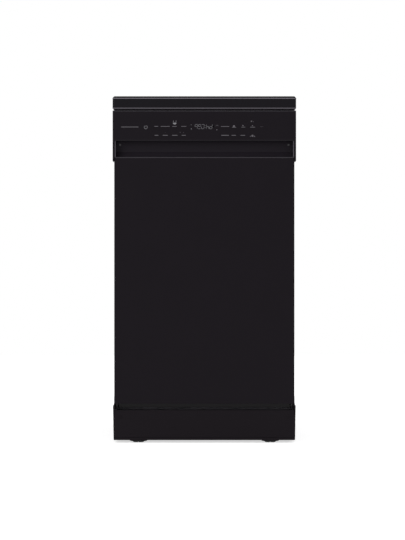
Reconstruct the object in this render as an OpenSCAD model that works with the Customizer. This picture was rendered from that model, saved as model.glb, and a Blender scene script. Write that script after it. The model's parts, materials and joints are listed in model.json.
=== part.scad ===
// Slimline free-standing dishwasher with its own worktop.
// Millimetres: X to the right, Y to the back, Z up. The door faces -Y.
// The origin is on the floor, below the middle of the machine.

/* [Overall] */
// Width across the worktop
overall_w = 448; // [370:1:560]
// Height from the floor to the top of the worktop
overall_h = 845; // [700:1:1050]
// Depth from the fascia to the back edge of the worktop
overall_d = 600; // [500:1:720]

/* [Worktop] */
// Thickness of the worktop
worktop_t = 33; // [24:1:40]
// Width of the edging frame seen from above
worktop_edge_w = 16; // [12:1:24]
// Plan radius of the worktop corners
worktop_corner_r = 6; // [3:1:10]
// Chamfer along the upper and lower edges
worktop_chamfer = 4; // [2:0.5:6]
// Ledge that carries the board
worktop_ledge = 8; // [5:1:12]

/* [Cabinet] */
// How far the side panels stand in from the worktop edge
side_inset = 2; // [1:0.5:6]
// Thickness of the painted sheet
sheet_t = 0.8; // [0.6:0.1:1.2]
// Fold along the upright edges of the side panels
panel_fold = 10; // [8:1:10]
// Space between the rear panel and the back edge of the worktop
rear_space = 8; // [6:1:14]
// Height of the base unit
base_h = 93; // [88:1:98]
// Gap between the base unit and the floor
floor_gap = 6.5; // [6:0.5:9]
// Draft of the base cheeks from top to bottom
base_draft = 1.5; // [0:0.5:1.5]
// Set-back of the plinth from the fascia
plinth_back = 12; // [10:1:14]
// Thickness of the moulded base walls
base_t = 2; // [2:0.5:3]

/* [Tub] */
// Space between the tub and the cabinet side
tub_side_space = 26; // [26:1:30]
// Space between the tub and the worktop
tub_top_space = 22; // [22:1:40]
// Space between the tub and the back edge of the worktop
tub_rear_space = 38; // [36:1:50]
// Thickness of the stainless sheet
tub_t = 0.8; // [0.6:0.1:1]
// Radius of the upper tub corners
tub_top_r = 28; // [14:1:34]
// Radius of the lower tub corners
tub_low_r = 12; // [8:1:12]
// Depth of the door seal between tub and door
seal_gap = 4; // [3.5:0.5:5]
// Width of the door seal
seal_w = 7; // [6:0.5:9]
// Thickness of the felt round the tub
felt_t = 5; // [3:0.5:5]

/* [Door] */
// Set-in of the door panel on each side
door_side_gap = 5.4; // [5.2:0.1:6]
// Set-in of the fascia on each side
fascia_side_gap = 0.7; // [0.5:0.1:1]
// Gap between the fascia and the worktop
fascia_gap = 2; // [2:0.5:4]
// Height of the fascia
fascia_h = 73.5; // [66:0.5:80]
// Height of the open hand grip below the fascia
grip_h = 42; // [38:1:48]
// How far the side wings reach below the grip
wing_drop = 7.5; // [5:0.5:10]
// Thickness of the side wings
wing_t = 4.4; // [4.2:0.1:4.6]
// How far the fascia stands in front of the door panel
fascia_proud = 3; // [2:0.5:4]
// Depth of the door, fascia included
door_depth = 50; // [50:1:54]
// Gap between the door panel and the base unit
door_bottom_gap = 3; // [3:0.5:5]
// Wall of the moulded door parts
plastic_t = 2.5; // [2:0.25:2.5]
// Depth of the pressed field in the inner liner
liner_press = 5; // [3:1:6]

/* [Hinge] */
// Hinge axis behind the fascia
hinge_back = 24; // [24:0.5:26]
// Hinge axis above the base unit
hinge_up = 13; // [13:0.5:15]
// Radius of the hinge pins
hinge_pin_r = 5; // [4:0.25:5]
// Radial clearance on the hinge pins
hinge_clearance = 0.05; // [0.03:0.01:0.1]
// Thickness of the hinge arms
arm_plate_t = 3; // [2.5:0.5:3]
// Length of the arms inside the door
arm_leg = 194; // [150:1:220]
// Mean radius of the balance springs
spring_r = 5; // [4:0.5:5]
// Length of the balance springs
spring_len = 150; // [120:5:170]

/* [Feet] */
// Distance between the front feet
foot_spread = 323; // [290:1:340]
// Front feet behind the fascia
foot_back = 38; // [36:1:44]
// Diameter of the foot pads
foot_pad_d = 43; // [36:1:46]
// Radius of the threaded stems
foot_stem_r = 5; // [4:0.5:5]
// Radial clearance of the stems in their bosses
foot_clearance = 0.08; // [0.05:0.01:0.1]
// Width of the single rear foot
rear_foot_w = 120; // [80:5:140]

/* [Baskets] */
// Height of the lower basket
lower_basket_h = 140; // [110:5:150]
// Lower basket floor above the tub floor
lower_basket_lift = 62; // [58:1:70]
// Height of the upper basket
upper_basket_h = 110; // [90:5:120]
// Room for plates between the two baskets
plate_space = 130; // [125:5:150]
// Radius of the rim wires
rim_r = 3; // [2.5:0.5:3]
// Radius of the thin wires
wire_r = 2; // [1.5:0.25:2]
// Length of the plate tines
tine_len = 64; // [50:1:64]
// Distance between the tines
tine_pitch = 30; // [24:1:36]
// Radius of the basket wheels
wheel_r = 14; // [12:0.5:14]
// Width of the basket wheels
wheel_w = 7; // [5:0.5:7]
// Reach of the cup shelves
cup_shelf_reach = 70; // [50:5:70]
// Cells in the cutlery basket
cutlery_cells = 6; // [4:1:8]
// Height of the cutlery basket
cutlery_h = 110; // [90:5:115]

/* [Spray system] */
// Reach of the lower spray arm
lower_arm_reach = 166; // [120:1:166]
// Reach of the upper spray arm
upper_arm_reach = 150; // [110:1:155]
// Height of the spray arms
spray_arm_t = 12; // [10:1:13]
// Radius of the spray arm pivots
spray_pin_r = 8; // [6:0.5:8]
// Radial clearance on the spray arm pivots
spray_clearance = 0.1; // [0.05:0.05:0.2]

/* [Connections] */
// Radius of the three-quarter inch inlet thread
inlet_r = 13.2; // [13.2:0.1:13.2]
// Radius of the drain hose spigot
drain_r = 10; // [9:0.5:11]
// Radius of the mains lead hole in the gland
lead_r = 4.2; // [3.5:0.1:4.5]

/* [Hidden] */
$fn = 48;
round_fn = 64;

// Play between fitted pieces of one assembly, and the smallest gap between wires
fit = 0.3;
hair = 0.1;

// Envelope
half_w = overall_w / 2;
front_y = -overall_d / 2;
rear_y = overall_d / 2;
worktop_z = overall_h - worktop_t;

// Cabinet
panel_out = half_w - side_inset;
panel_in = panel_out - sheet_t;
rear_panel_y = rear_y - rear_space;
cheek_top_x = half_w - 1;
cheek_low_x = cheek_top_x - base_draft;
cheek_in = half_w - 3.5;
plinth_y = front_y + plinth_back;
plinth_t = 2.5;
base_floor_z = floor_gap + base_t;
base_rear_y = rear_panel_y - 20;
base_wall_y = front_y + 72;

// Door
door_half = half_w - door_side_gap;
fascia_half = half_w - fascia_side_gap;
fascia_top = worktop_z - fascia_gap;
fascia_low = fascia_top - fascia_h;
door_top = fascia_low - grip_h;
wing_low = door_top - wing_drop;
wing_in = fascia_half - wing_t;
door_y = front_y + fascia_proud;
door_low = base_h + door_bottom_gap;
liner_y = front_y + door_depth;
liner_front = liner_y - sheet_t;
liner_top = fascia_top - 10;
fascia_back = liner_front - 1.2;
catch_y = front_y + 38;
bowl_y = front_y + 32;

// Hinge and springs
hinge_y = front_y + hinge_back;
hinge_z = base_h + hinge_up;
hinge_bore_r = hinge_pin_r + hinge_clearance;
bracket_in = door_half + fit;
arm_out = door_half - 3.6;
arm_in = arm_out - arm_plate_t;
tail = [8, -34];
tail_r = 5;
rope_r = 1.2;
rope_x = (arm_in + arm_out) / 2;
guide = [6, -66];
guide_r = 7;

// Tub
tub_half = half_w - tub_side_space;
tub_ceiling = worktop_z - tub_top_space;
tub_rear = rear_y - tub_rear_space;
tub_front = liner_y + seal_gap;
tub_floor = hinge_z + (liner_y - hinge_y) + 1;
flange_half = door_half + 0.4;
flange_low = tub_floor - 9;
flange_top = tub_ceiling + 9.8;
rail_z = flange_top + 0.8;

// Spray system and sump
hub = [0, 10];
sump_at = [20, -40];
sump_hole_r = 94;
filter_plate_r = 98;
filter_plate_t = 1.5;
filter_at = [45, -80];
filter_r = 34;
salt_at = [-(tub_half - 73), -60];
salt_bore_r = 28;
salt_neck_r = 32;
duct_low = tub_floor + filter_plate_t + hair;
duct_top = duct_low + 15;
duct_half = 14;
duct_t = 1.6;
riser_half = 22;
riser_y = tub_rear - 19;
lower_arm_z = duct_top + 7;
lower_basket_z = tub_floor + lower_basket_lift;
lower_basket_top = lower_basket_z + lower_basket_h;
upper_basket_z = lower_basket_top + plate_space;
feed_top = upper_basket_z - wire_r * 3 - 2 * hair;
feed_low = feed_top - 12;
feed_half = 12;
upper_arm_z = feed_low - spray_arm_t - 2;
ceiling_pipe_top = tub_ceiling - 2;
ceiling_pipe_low = ceiling_pipe_top - 14;
ceiling_pipe_half = 11;

// Baskets
basket_front = front_y + 76;
basket_rear = riser_y - 15;
lower_half = tub_half - 12;
upper_half = tub_half - 24;
upper_basket_top = upper_basket_z + upper_basket_h;
wheel_z = tub_floor + 0.4 + wheel_r;
wheel_in = tub_half - 19.5;
wheel_pin_r = 3;
rack_z = lower_basket_z + 8;
rack_bore_r = wire_r + 0.08;
tine_r = 1.6;
tine_half = floor((lower_half - 30) / tine_pitch) * tine_pitch;
row_pitch = 80;
row_front_y = basket_front + 124;
lower_rows = [for (i = [-1.35, -0.7, 0, 1, 2, 3, 3.65]) row_front_y + i * row_pitch];
wheel_front_y = lower_rows[2] - 10;
wheel_rear_y = lower_rows[6] - 4;
cutlery_low = lower_basket_z + wire_r + 0.4;
cutlery_front = basket_front + 10;
cutlery_depth = 68;
cutlery_half = lower_half - 36;
shelf_x = upper_half - 11;
shelf_z = upper_basket_z + 65;
rail_mid_z = upper_basket_z + 74;
rail_half_y = 236;
rail_wall = 1.2;

// ---------- plain shapes ----------

module box_between(low, high) {
    translate(low) cube(high - low);
}

module both_sides() {
    children();
    mirror([1, 0, 0]) children();
}

module rod_x(x0, x1, y, z, r, fn = $fn) {
    translate([x0, y, z]) rotate([0, 90, 0]) cylinder(r = r, h = x1 - x0, $fn = fn);
}

module rod_y(y0, y1, x, z, r, fn = $fn) {
    translate([x, y1, z]) rotate([90, 0, 0]) cylinder(r = r, h = y1 - y0, $fn = fn);
}

module rod_z(z0, z1, x, y, r, fn = $fn) {
    translate([x, y, z0]) cylinder(r = r, h = z1 - z0, $fn = fn);
}

// Straight bars of eight flats stand for the coated wires
module wire_x(x0, x1, y, z, r = wire_r) { rod_x(x0, x1, y, z, r, 8); }
module wire_y(y0, y1, x, z, r = wire_r) { rod_y(y0, y1, x, z, r, 8); }
module wire_z(z0, z1, x, y, r = wire_r) { rod_z(z0, z1, x, y, r, 8); }

// Outlines pushed along one axis: prism_x takes YZ points, prism_y XZ and prism_z XY
module prism_x(points, x0, x1) {
    translate([x0, 0, 0]) rotate([90, 0, 90]) linear_extrude(x1 - x0) polygon(points);
}

module prism_y(points, y0, y1) {
    translate([0, y1, 0]) rotate([90, 0, 0]) linear_extrude(y1 - y0) polygon(points);
}

module prism_z(points, z0, z1) {
    translate([0, 0, z0]) linear_extrude(z1 - z0) polygon(points);
}

function arc(centre, r, a0, a1, steps = 6) =
    [for (i = [0:steps])
        let (a = a0 + (a1 - a0) * i / steps) centre + r * [cos(a), sin(a)]];

// Corner radii in the order lower left, lower right, upper right, upper left
function rounded_rect(low, high, r) = concat(
    arc(low + [r[0], r[0]], r[0], 180, 270),
    arc([high[0] - r[1], low[1] + r[1]], r[1], 270, 360),
    arc(high - [r[2], r[2]], r[2], 0, 90),
    arc([low[0] + r[3], high[1] - r[3]], r[3], 90, 180));

function even_rect(low, high, r) = rounded_rect(low, high, [r, r, r, r]);

function chamfered_rect(low, high, c) = [
    [low[0] + c, low[1]], [high[0] - c, low[1]], [high[0], low[1] + c],
    [high[0], high[1] - c], [high[0] - c, high[1]], [low[0] + c, high[1]],
    [low[0], high[1] - c], [low[0], low[1] + c]];

// A folded sheet: the path is one face, and the other lies t to its left
function unit(v) = v / norm(v);
function left_of(v) = [-v[1], v[0]];
function way_in(path, i) = unit(i > 0 ? path[i] - path[i - 1] : path[1] - path[0]);
function way_out(path, i) = unit(i < len(path) - 1 ? path[i + 1] - path[i] : path[i] - path[i - 1]);
function mitre(path, i, t) =
    let (n = unit(left_of(way_in(path, i)) + left_of(way_out(path, i))))
        path[i] + n * t / (n * left_of(way_out(path, i)));
function strip(path, t) = concat(path, [for (i = [len(path) - 1:-1:0]) mitre(path, i, t)]);

// A screw head with a cross slot, on the plane at 0 and pointing along +Z
module screw_head(r, h) {
    difference() {
        cylinder(r = r, h = h);
        for (turn = [0, 90])
            rotate([0, 0, turn])
                box_between([-r * 0.6, -r * 0.12, h / 2], [r * 0.6, r * 0.12, h + 1]);
    }
}

// ---------- worktop ----------

module worktop_trim() color("#232325") difference() {
    intersection() {
        prism_z(even_rect([-half_w, front_y], [half_w, rear_y], worktop_corner_r),
            worktop_z, overall_h);
        prism_y(chamfered_rect([-half_w, worktop_z], [half_w, overall_h], worktop_chamfer),
            front_y, rear_y);
        prism_x(chamfered_rect([front_y, worktop_z], [rear_y, overall_h], worktop_chamfer),
            -half_w, half_w);
    }
    board_space(0, worktop_z + 6);
    inner = worktop_edge_w + worktop_ledge;
    box_between([-half_w + inner, front_y + inner, worktop_z - 1],
        [half_w - inner, rear_y - inner, overall_h]);
}

module board_space(gap, low) {
    edge = worktop_edge_w + gap;
    box_between([-half_w + edge, front_y + edge, low],
        [half_w - edge, rear_y - edge, overall_h + (gap > 0 ? 0 : 1)]);
}

module worktop_board() color("#29292b") board_space(0.2, worktop_z + 6);

// ---------- cabinet ----------

// The front fold stops above the base, where the hinge arm swings back
module side_panel() color("#1f1f21") difference() {
    front = tub_front + tub_t;
    prism_z(strip([[panel_out - panel_fold, front], [panel_out, front],
        [panel_out, rear_panel_y], [panel_out - panel_fold, rear_panel_y]], sheet_t),
        base_h, worktop_z);
    box_between([panel_out - panel_fold - 1, front - 1, base_h - 1],
        [panel_in, front + 2, flange_low]);
}

module side_panel_right() side_panel();
module side_panel_left() mirror([1, 0, 0]) side_panel();

rib_h = 4;
rib_half = 15;
function rib(x) = [[x - rib_half, rear_panel_y], [x - rib_half + rib_h, rear_panel_y + rib_h],
    [x + rib_half - rib_h, rear_panel_y + rib_h], [x + rib_half, rear_panel_y]];

module rear_panel() color("#3a3a3c") prism_z(
    strip(concat([[-panel_out, rear_panel_y]], rib(-half_w / 2), rib(0), rib(half_w / 2),
        [[panel_out, rear_panel_y]]), sheet_t),
    base_h, worktop_z);

module cross_rails() color("silver") {
    back = rear_panel_y - sheet_t;
    for (y = [[tub_front + tub_t + sheet_t, tub_front + 36], [back - 36, back]])
        prism_x(strip([[y[0], rail_z], [y[0], worktop_z], [y[1], worktop_z], [y[1], rail_z]],
            -1.2), -panel_in, panel_in);
}

striker_half = 22;
tongue_half = 12;
tongue_z = fascia_top - 8;

module striker() color("silver") {
    plate_y = tub_front + tub_t + sheet_t;
    box_between([-striker_half, plate_y - 2, rail_z], [striker_half, plate_y, worktop_z - 1]);
    difference() {
        box_between([-tongue_half, catch_y, tongue_z],
            [tongue_half, plate_y - 1, tongue_z + 3]);
        box_between([-tongue_half / 2, catch_y + 3, tongue_z - 1],
            [tongue_half / 2, catch_y + 8, tongue_z + 4]);
    }
}

// ---------- tub ----------

function tub_outline(grow) = rounded_rect(
    [-tub_half - grow, tub_floor - grow], [tub_half + grow, tub_ceiling + grow],
    [tub_low_r + grow, tub_low_r + grow, tub_top_r + grow, tub_top_r + grow]);

module tub() color("silver") difference() {
    union() {
        prism_y(tub_outline(tub_t), tub_front, tub_rear + tub_t);
        prism_y(even_rect([-flange_half, flange_low], [flange_half, flange_top], 5),
            tub_front, tub_front + tub_t);
    }
    prism_y(tub_outline(0), tub_front - 1, tub_rear);
    rod_z(tub_floor - 5, tub_floor + 5, sump_at[0], sump_at[1], sump_hole_r);
    rod_z(tub_floor - 5, tub_floor + 5, salt_at[0], salt_at[1], salt_neck_r + fit);
}

module tub_gasket() color("#2b2b2d") difference() {
    inner = 2.8;
    prism_y(tub_outline(inner + seal_w), liner_y + fit, tub_front);
    prism_y(tub_outline(inner), liner_y, tub_front + 1);
}

module tub_insulation() color("#4a4744") difference() {
    low = tub_t + fit;
    y0 = tub_front + 44;
    y1 = tub_rear - 10;
    prism_y(tub_outline(low + felt_t), y0, y1);
    prism_y(tub_outline(low), y0 - 1, y1 + 1);
    box_between([-half_w, y0 - 1, 0], [half_w, y1 + 1, tub_floor + 90]);
}

// ---------- base unit ----------

boss_r = 12;
boss_top = 46;
rear_foot_y = base_rear_y - 30;
front_foot_y = front_y + foot_back;
pillars = [[tub_half - 42, tub_front + 31], [tub_half - 98, tub_rear - 36]];
inlet_at = [half_w - 74, 60];
drain_at = [-(half_w - 74), 60];
gland_at = [-60, 70];
gland_r = 9;

// Cross-section of a cheek; a front cheek has a rounded upper corner
function cheek(top_r) = concat(
    [[cheek_in, floor_gap], [cheek_low_x - 1, floor_gap], [cheek_low_x, floor_gap + 2]],
    top_r > 0 ? [for (p = arc([0, 0], 1, 0, 90)) [cheek_in + (cheek_top_x - cheek_in) * p[0],
        base_h - top_r + top_r * p[1]]] : [[cheek_top_x, base_h], [cheek_in, base_h]]);

// The floor pan carries the three feet
module base_tray() color("#1d1d1f") difference() {
    union() {
        box_between([-cheek_in, plinth_y + 6, floor_gap], [cheek_in, base_rear_y, base_floor_z]);
        box_between([-cheek_in, plinth_y, floor_gap], [cheek_in, plinth_y + 8, floor_gap + 6]);
        both_sides() rod_z(floor_gap, boss_top, foot_spread / 2, front_foot_y, boss_r);
        rod_z(floor_gap, boss_top, 0, rear_foot_y, boss_r);
    }
    bore_r = foot_stem_r + foot_clearance;
    for (x = [-foot_spread / 2, foot_spread / 2])
        rod_z(0, boss_top + 1, x, front_foot_y, bore_r);
    rod_z(0, boss_top + 1, 0, rear_foot_y, bore_r);
}

// Cheeks and cross walls round the floor pan, and the four pillars below the tub
module base_frame() color("#1d1d1f") {
    difference() {
        union() {
            both_sides() {
                prism_y(cheek(4.5), plinth_y, tub_front);
                prism_y(cheek(0), tub_front, base_rear_y);
            }
            box_between([-cheek_in - 0.5, base_wall_y, base_floor_z],
                [cheek_in + 0.5, base_wall_y + base_t, base_h - 10]);
            box_between([-cheek_in - 0.5, base_rear_y - base_t, base_floor_z],
                [cheek_in + 0.5, base_rear_y, base_h]);
        }
        rod_y(base_rear_y - 5, base_rear_y + 5, inlet_at[0], inlet_at[1], inlet_r);
        rod_y(base_rear_y - 5, base_rear_y + 5, drain_at[0], drain_at[1], drain_r);
        rod_y(base_rear_y - 5, base_rear_y + 5, gland_at[0], gland_at[1], gland_r + 0.1);
    }
    both_sides() for (at = pillars)
        box_between([at[0] - 6, at[1] - 6, base_floor_z], [at[0] + 6, at[1] + 6, tub_floor - tub_t]);
}

plinth_top = base_h - 13;
plinth_low = floor_gap + 6.3;

module plinth() color("#1d1d1f") {
    half = bracket_in - fit;
    prism_x(strip([[plinth_y + 9, plinth_low], [plinth_y, plinth_low], [plinth_y, plinth_top],
        [plinth_y + 12, plinth_top]], -plinth_t), -half, half);
    box_between([-(cheek_in - fit), plinth_y, plinth_low],
        [cheek_in - fit, plinth_y + plinth_t, plinth_top]);
}

pad_top = floor_gap - fit;
stem_top = boss_top + 4;

module foot(at) color("#161617") difference() {
    union() {
        translate([at[0], at[1], 0]) rotate_extrude($fn = round_fn) polygon([
            [0, 0], [12.5, 0], [14.25, 3], [foot_pad_d / 2 - 2.5, 4.6],
            [foot_pad_d / 2, pad_top - 0.6], [foot_pad_d / 2, pad_top], [0, pad_top]]);
        rod_z(pad_top - 1, stem_top, at[0], at[1], foot_stem_r);
    }
    box_between([at[0] - 1.3, at[1] - foot_pad_d, -1], [at[0] + 1.3, at[1] + foot_pad_d, 1.2]);
}

module foot_front_left() foot([-foot_spread / 2, front_foot_y]);
module foot_front_right() foot([foot_spread / 2, front_foot_y]);

module rear_foot() color("#161617") {
    difference() {
        prism_x(chamfered_rect([rear_foot_y - 15, 0], [rear_foot_y + 15, pad_top], 1.5),
            -rear_foot_w / 2, rear_foot_w / 2);
        for (i = [-2:2])
            box_between([i * rear_foot_w / 5 - 1, rear_foot_y - 20, -1],
                [i * rear_foot_w / 5 + 1, rear_foot_y + 20, 1.2]);
    }
    rod_z(pad_top - 1, stem_top, 0, rear_foot_y, foot_stem_r);
}

// ---------- hinge ----------

module hinge_brackets() color("silver") both_sides() {
    low = 40;
    prism_x(concat([[base_wall_y, low], [base_wall_y, base_h - 6], [tub_front - 2, base_h - 2]],
        arc([hinge_y, hinge_z], 9, 45, 180), [[hinge_y - 9, low]]), bracket_in, cheek_in);
    rod_x(arm_in - 1, bracket_in + 0.5, hinge_y, hinge_z, hinge_pin_r);
    rod_x(rope_x - 4, bracket_in + 0.5, hinge_y + guide[0], hinge_z + guide[1], guide_r);
}

// Arm plate: a leg up into the door, an eye on the pin and a tail for the rope
module hinge_arms() color("silver") both_sides() difference() {
    union() {
        box_between([arm_in, hinge_y - 8, hinge_z], [arm_out, hinge_y + 10, hinge_z + arm_leg]);
        rod_x(arm_in, arm_out, hinge_y, hinge_z, 9);
        prism_x([[hinge_y - 5, hinge_z], [hinge_y + 7, hinge_z],
            [hinge_y + tail[0] + 4, hinge_z + tail[1]],
            [hinge_y + tail[0] - 4, hinge_z + tail[1]]], arm_in, arm_out);
        rod_x(arm_in, arm_out, hinge_y + tail[0], hinge_z + tail[1], tail_r);
        for (up = [70, arm_leg - 30])
            rod_x(arm_in, door_half - sheet_t, hinge_y, hinge_z + up, 6);
    }
    rod_x(arm_in - 1, arm_out + 1, hinge_y, hinge_z, hinge_bore_r);
    rod_x(arm_in - 1, arm_out + 1, hinge_y + tail[0], hinge_z + tail[1], rope_r + 0.6);
}

// Balance spring, hung upright between tub and side panel, with its rope round the guide.
// A sleeve of the wound wire's outer and inner size stands for the turns.
spring_y = tub_front + 24;
spring_low = tub_floor + 4;
spring_top = spring_low + spring_len;
spring_wire_r = 0.9;
// Degrees left open at each end of the rope's turn round the guide
rope_gap = 1;

module door_springs() color("#8f9092") both_sides() {
    rope_start = [hinge_y + tail[0] - 2, hinge_z + tail[1] - tail_r - rope_r];
    rope_end = [spring_y, spring_low - 2];
    centre = [hinge_y + guide[0], hinge_z + guide[1]];
    around = guide_r + rope_r + 0.1;
    front_a = tangent_angle(centre, rope_start, around, 1);
    rear_a = tangent_angle(centre, rope_end, around, -1);
    rope_piece(rope_start, centre + around * [cos(front_a), sin(front_a)]);
    rope_piece(centre + around * [cos(rear_a), sin(rear_a)], rope_end);
    translate([rope_x, centre[0], centre[1]]) rotate([90, 0, 90]) rotate([0, 0, front_a + rope_gap])
        rotate_extrude(angle = rear_a - front_a + 360 - 2 * rope_gap) translate([around, 0])
            circle(r = rope_r, $fn = 24);
    difference() {
        rod_z(spring_low, spring_top, rope_x, spring_y, spring_r + spring_wire_r);
        rod_z(spring_low - 1, spring_top + 1, rope_x, spring_y, spring_r - spring_wire_r);
    }
    rod_z(spring_low - 4, spring_low - hair, rope_x, spring_y, spring_r);
    rod_z(spring_top + hair, spring_top + 6, rope_x, spring_y, spring_r);
    box_between([rope_x - 3, spring_y - 4, spring_top + 5],
        [panel_in, spring_y + 4, spring_top + 8]);
}

function tangent_angle(centre, point, r, side) =
    let (v = point - centre) atan2(v[1], v[0]) + side * acos(r / norm(v));

module rope_piece(a, b) {
    v = b - a;
    translate([rope_x, a[0], a[1]]) rotate([-atan2(v[0], v[1]), 0, 0])
        cylinder(r = rope_r, h = norm(v), $fn = 24);
}

// ---------- door ----------

pan_t = sheet_t;
hinge_hole_r = 8;

module outer_door_panel() color("#1f1c20") difference() {
    union() {
        box_between([-door_half, door_y, door_low], [door_half, door_y + pan_t, door_top]);
        both_sides() box_between([door_half - pan_t, door_y, door_low],
            [door_half, liner_front, door_top]);
        box_between([-door_half, door_y, door_low], [door_half, liner_front, door_low + pan_t]);
        box_between([-door_half, door_y, door_top - pan_t], [door_half, bowl_y - 8, door_top]);
    }
    both_sides() {
        rod_x(door_half - 2, door_half + 1, hinge_y, hinge_z, hinge_hole_r);
        box_between([arm_in - 1, hinge_y - 12, door_low - 1],
            [arm_out + 1, hinge_y + 16, door_low + 2]);
    }
}

pan_half = tub_half - 26;
pan_low = door_low + 54;
pan_top = liner_top - 30;
dispenser_half = 85;
dispenser_low = 345;
dispenser_h = 185;
dispenser_top = dispenser_low + dispenser_h;

module inner_door_liner() color("silver") difference() {
    liner_half = door_half - 1.3;
    union() {
        box_between([-liner_half, liner_front, door_low + 8], [liner_half, liner_y, liner_top]);
        prism_y(even_rect([-pan_half - sheet_t, pan_low - sheet_t],
            [pan_half + sheet_t, pan_top + sheet_t], 14 + sheet_t),
            liner_front - liner_press, liner_y);
    }
    prism_y(even_rect([-pan_half, pan_low], [pan_half, pan_top], 14),
        liner_y - liner_press, liner_y + 1);
    box_between([-dispenser_half + 4, liner_y - 20, dispenser_low + 4],
        [dispenser_half - 4, liner_y + 1, dispenser_top - 4]);
}

edge_c = 2;

module fascia() color("#1f1c20") {
    front_in = front_y + plastic_t;
    lip_y = front_y + 12;
    prism_x([[fascia_back, fascia_top], [front_y + edge_c, fascia_top],
        [front_y, fascia_top - edge_c], [front_y, fascia_low + edge_c],
        [front_y + edge_c, fascia_low], [lip_y, fascia_low], [lip_y, fascia_low + plastic_t],
        [front_in, fascia_low + plastic_t], [front_in, fascia_top - plastic_t],
        [fascia_back, fascia_top - plastic_t]], -fascia_half, fascia_half);
    both_sides() {
        prism_x([[fascia_back, wing_low], [fascia_back, fascia_top],
            [front_y + edge_c, fascia_top], [front_y, fascia_top - edge_c],
            [front_y, wing_low + edge_c], [front_y + edge_c, wing_low]],
            fascia_half - plastic_t, fascia_half);
        prism_y(concat([[wing_in, fascia_low + 1], [wing_in, wing_low]],
            arc([fascia_half - 4, wing_low + 4], 4, -90, 0),
            [[fascia_half, fascia_low + 1]]), front_y + edge_c, fascia_back);
    }
    for (x = [-half_w * 0.62, half_w * 0.62], z = [fascia_low + 16, fascia_top - 22])
        rod_y(front_in - 0.5, board_front, x, z, 3);
}

board_front = front_y + 9;
board_low = fascia_low + 11.5;

module control_board() color("#20402c") {
    half = half_w * 0.67;
    box_between([-half, board_front, board_low], [half, board_front + 1.6, fascia_top - 18]);
    box_between([-40, front_y + plastic_t + fit, fascia_low + 26],
        [40, board_front, fascia_top - 28]);
    for (x = [-half + 18, half - 30])
        box_between([x, board_front + 1.6, fascia_top - 40], [x + 12, board_front + 14, fascia_top - 22]);
}

bowl_t = 2;
bowl_top = fascia_low + 16;

module handle_bowl() color("#141415") prism_x(
    strip([[front_y + 14.3, fascia_low + 3], [front_y + 14.3, bowl_top - bowl_t],
        [bowl_y, bowl_top - bowl_t], [bowl_y, door_top + 16.5], [bowl_y - 8, door_top + 4],
        [door_y + 0.3, door_top + bowl_t]], bowl_t),
    -(wing_in - fit), wing_in - fit);

latch_half = 32;
latch_low = fascia_top - 34;
claw_pin = [bowl_y + 4, fascia_top - 19];
claw_half = 5;

module door_latch() color("#dcdcd8") difference() {
    union() {
        box_between([-latch_half, bowl_y - 6, latch_low],
            [latch_half, liner_front, fascia_top - plastic_t - 0.7]);
    }
    box_between([-tongue_half - 3, catch_y - 4, tongue_z - 1],
        [tongue_half + 3, liner_front + 1, tongue_z + 4]);
    box_between([-claw_half - 1, bowl_y - 3, latch_low + 4],
        [claw_half + 1, liner_front + 1, tongue_z]);
    rod_x(-claw_half - 6, claw_half + 6, claw_pin[0], claw_pin[1], 2.1);
}

module latch_claw() color("silver") {
    tip = [catch_y + 6, tongue_z - 0.3];
    prism_x([[claw_pin[0] - 4, claw_pin[1] - 3], [claw_pin[0] + 3, claw_pin[1] - 4],
        [tip[0] + 3, tip[1] - 4], [tip[0] + 1.5, tip[1]], [tip[0] - 1, tip[1]],
        [claw_pin[0] - 4, claw_pin[1] + 4]], -claw_half, claw_half);
    rod_x(-claw_half - 5.5, claw_half + 5.5, claw_pin[0], claw_pin[1], 2);
}

// ---------- dispenser ----------

face_y = liner_y - 3;
cup_low = [-(dispenser_half - 10), dispenser_low + 90];
cup_high = [-5, dispenser_top - 15];
cap_at = [43, dispenser_top - 50];
cap_bore_r = 12;

module dispenser_body() color("#c9cbcd") difference() {
    back = [dispenser_half - 4 - fit, dispenser_low + 4 + fit, dispenser_top - 4 - fit];
    union() {
        prism_y(even_rect([-dispenser_half, dispenser_low], [dispenser_half, dispenser_top], 10),
            liner_y - liner_press, face_y);
        box_between([-back[0], face_y - 22, back[1]], [back[0], liner_y - liner_press + 1, back[2]]);
    }
    cup_cut();
    cap_cut();
}

module cup_cut() {
    box_between([cup_low[0], face_y - 20, cup_low[1]], [cup_high[0], face_y + 1, cup_high[1]]);
}

module cap_cut() {
    rod_y(face_y - 12, face_y + 1, cap_at[0], cap_at[1], cap_bore_r);
}

module dispenser_lid() color("#d9dbdd") {
    prism_y(even_rect([cup_low[0] - 4, cup_low[1] - 4], [cup_high[0] + 4, cup_high[1] + 4], 5),
        face_y + fit, face_y + 2);
    box_between([cup_low[0] + 20, face_y + 1.9, cup_high[1] - 8],
        [cup_high[0] - 20, face_y + 2.8, cup_high[1] - 5]);
}

module rinse_aid_cap() color("#b9c4cf") {
    rod_y(face_y - 9, face_y + 1, cap_at[0], cap_at[1], cap_bore_r - 0.15);
    rod_y(face_y + fit, face_y + 4, cap_at[0], cap_at[1], 17);
    box_between([cap_at[0] - 14, face_y + 3.9, cap_at[1] - 2],
        [cap_at[0] + 14, face_y + 6, cap_at[1] + 2]);
}

module door_screws() color("silver") {
    for (x = [-206.5, 206.5] * half_w / 224)
        translate([x, bowl_y, fascia_low - 8]) rotate([90, 0, 0]) screw_head(2.4, 1.6);
    for (side = [-1, 1], i = [0:4])
        translate([side * (door_half - 6), liner_y, door_low + 60 + i * (liner_top - door_low - 100) / 4])
            rotate([-90, 0, 0]) screw_head(3.5, 1.6);
}

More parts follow.
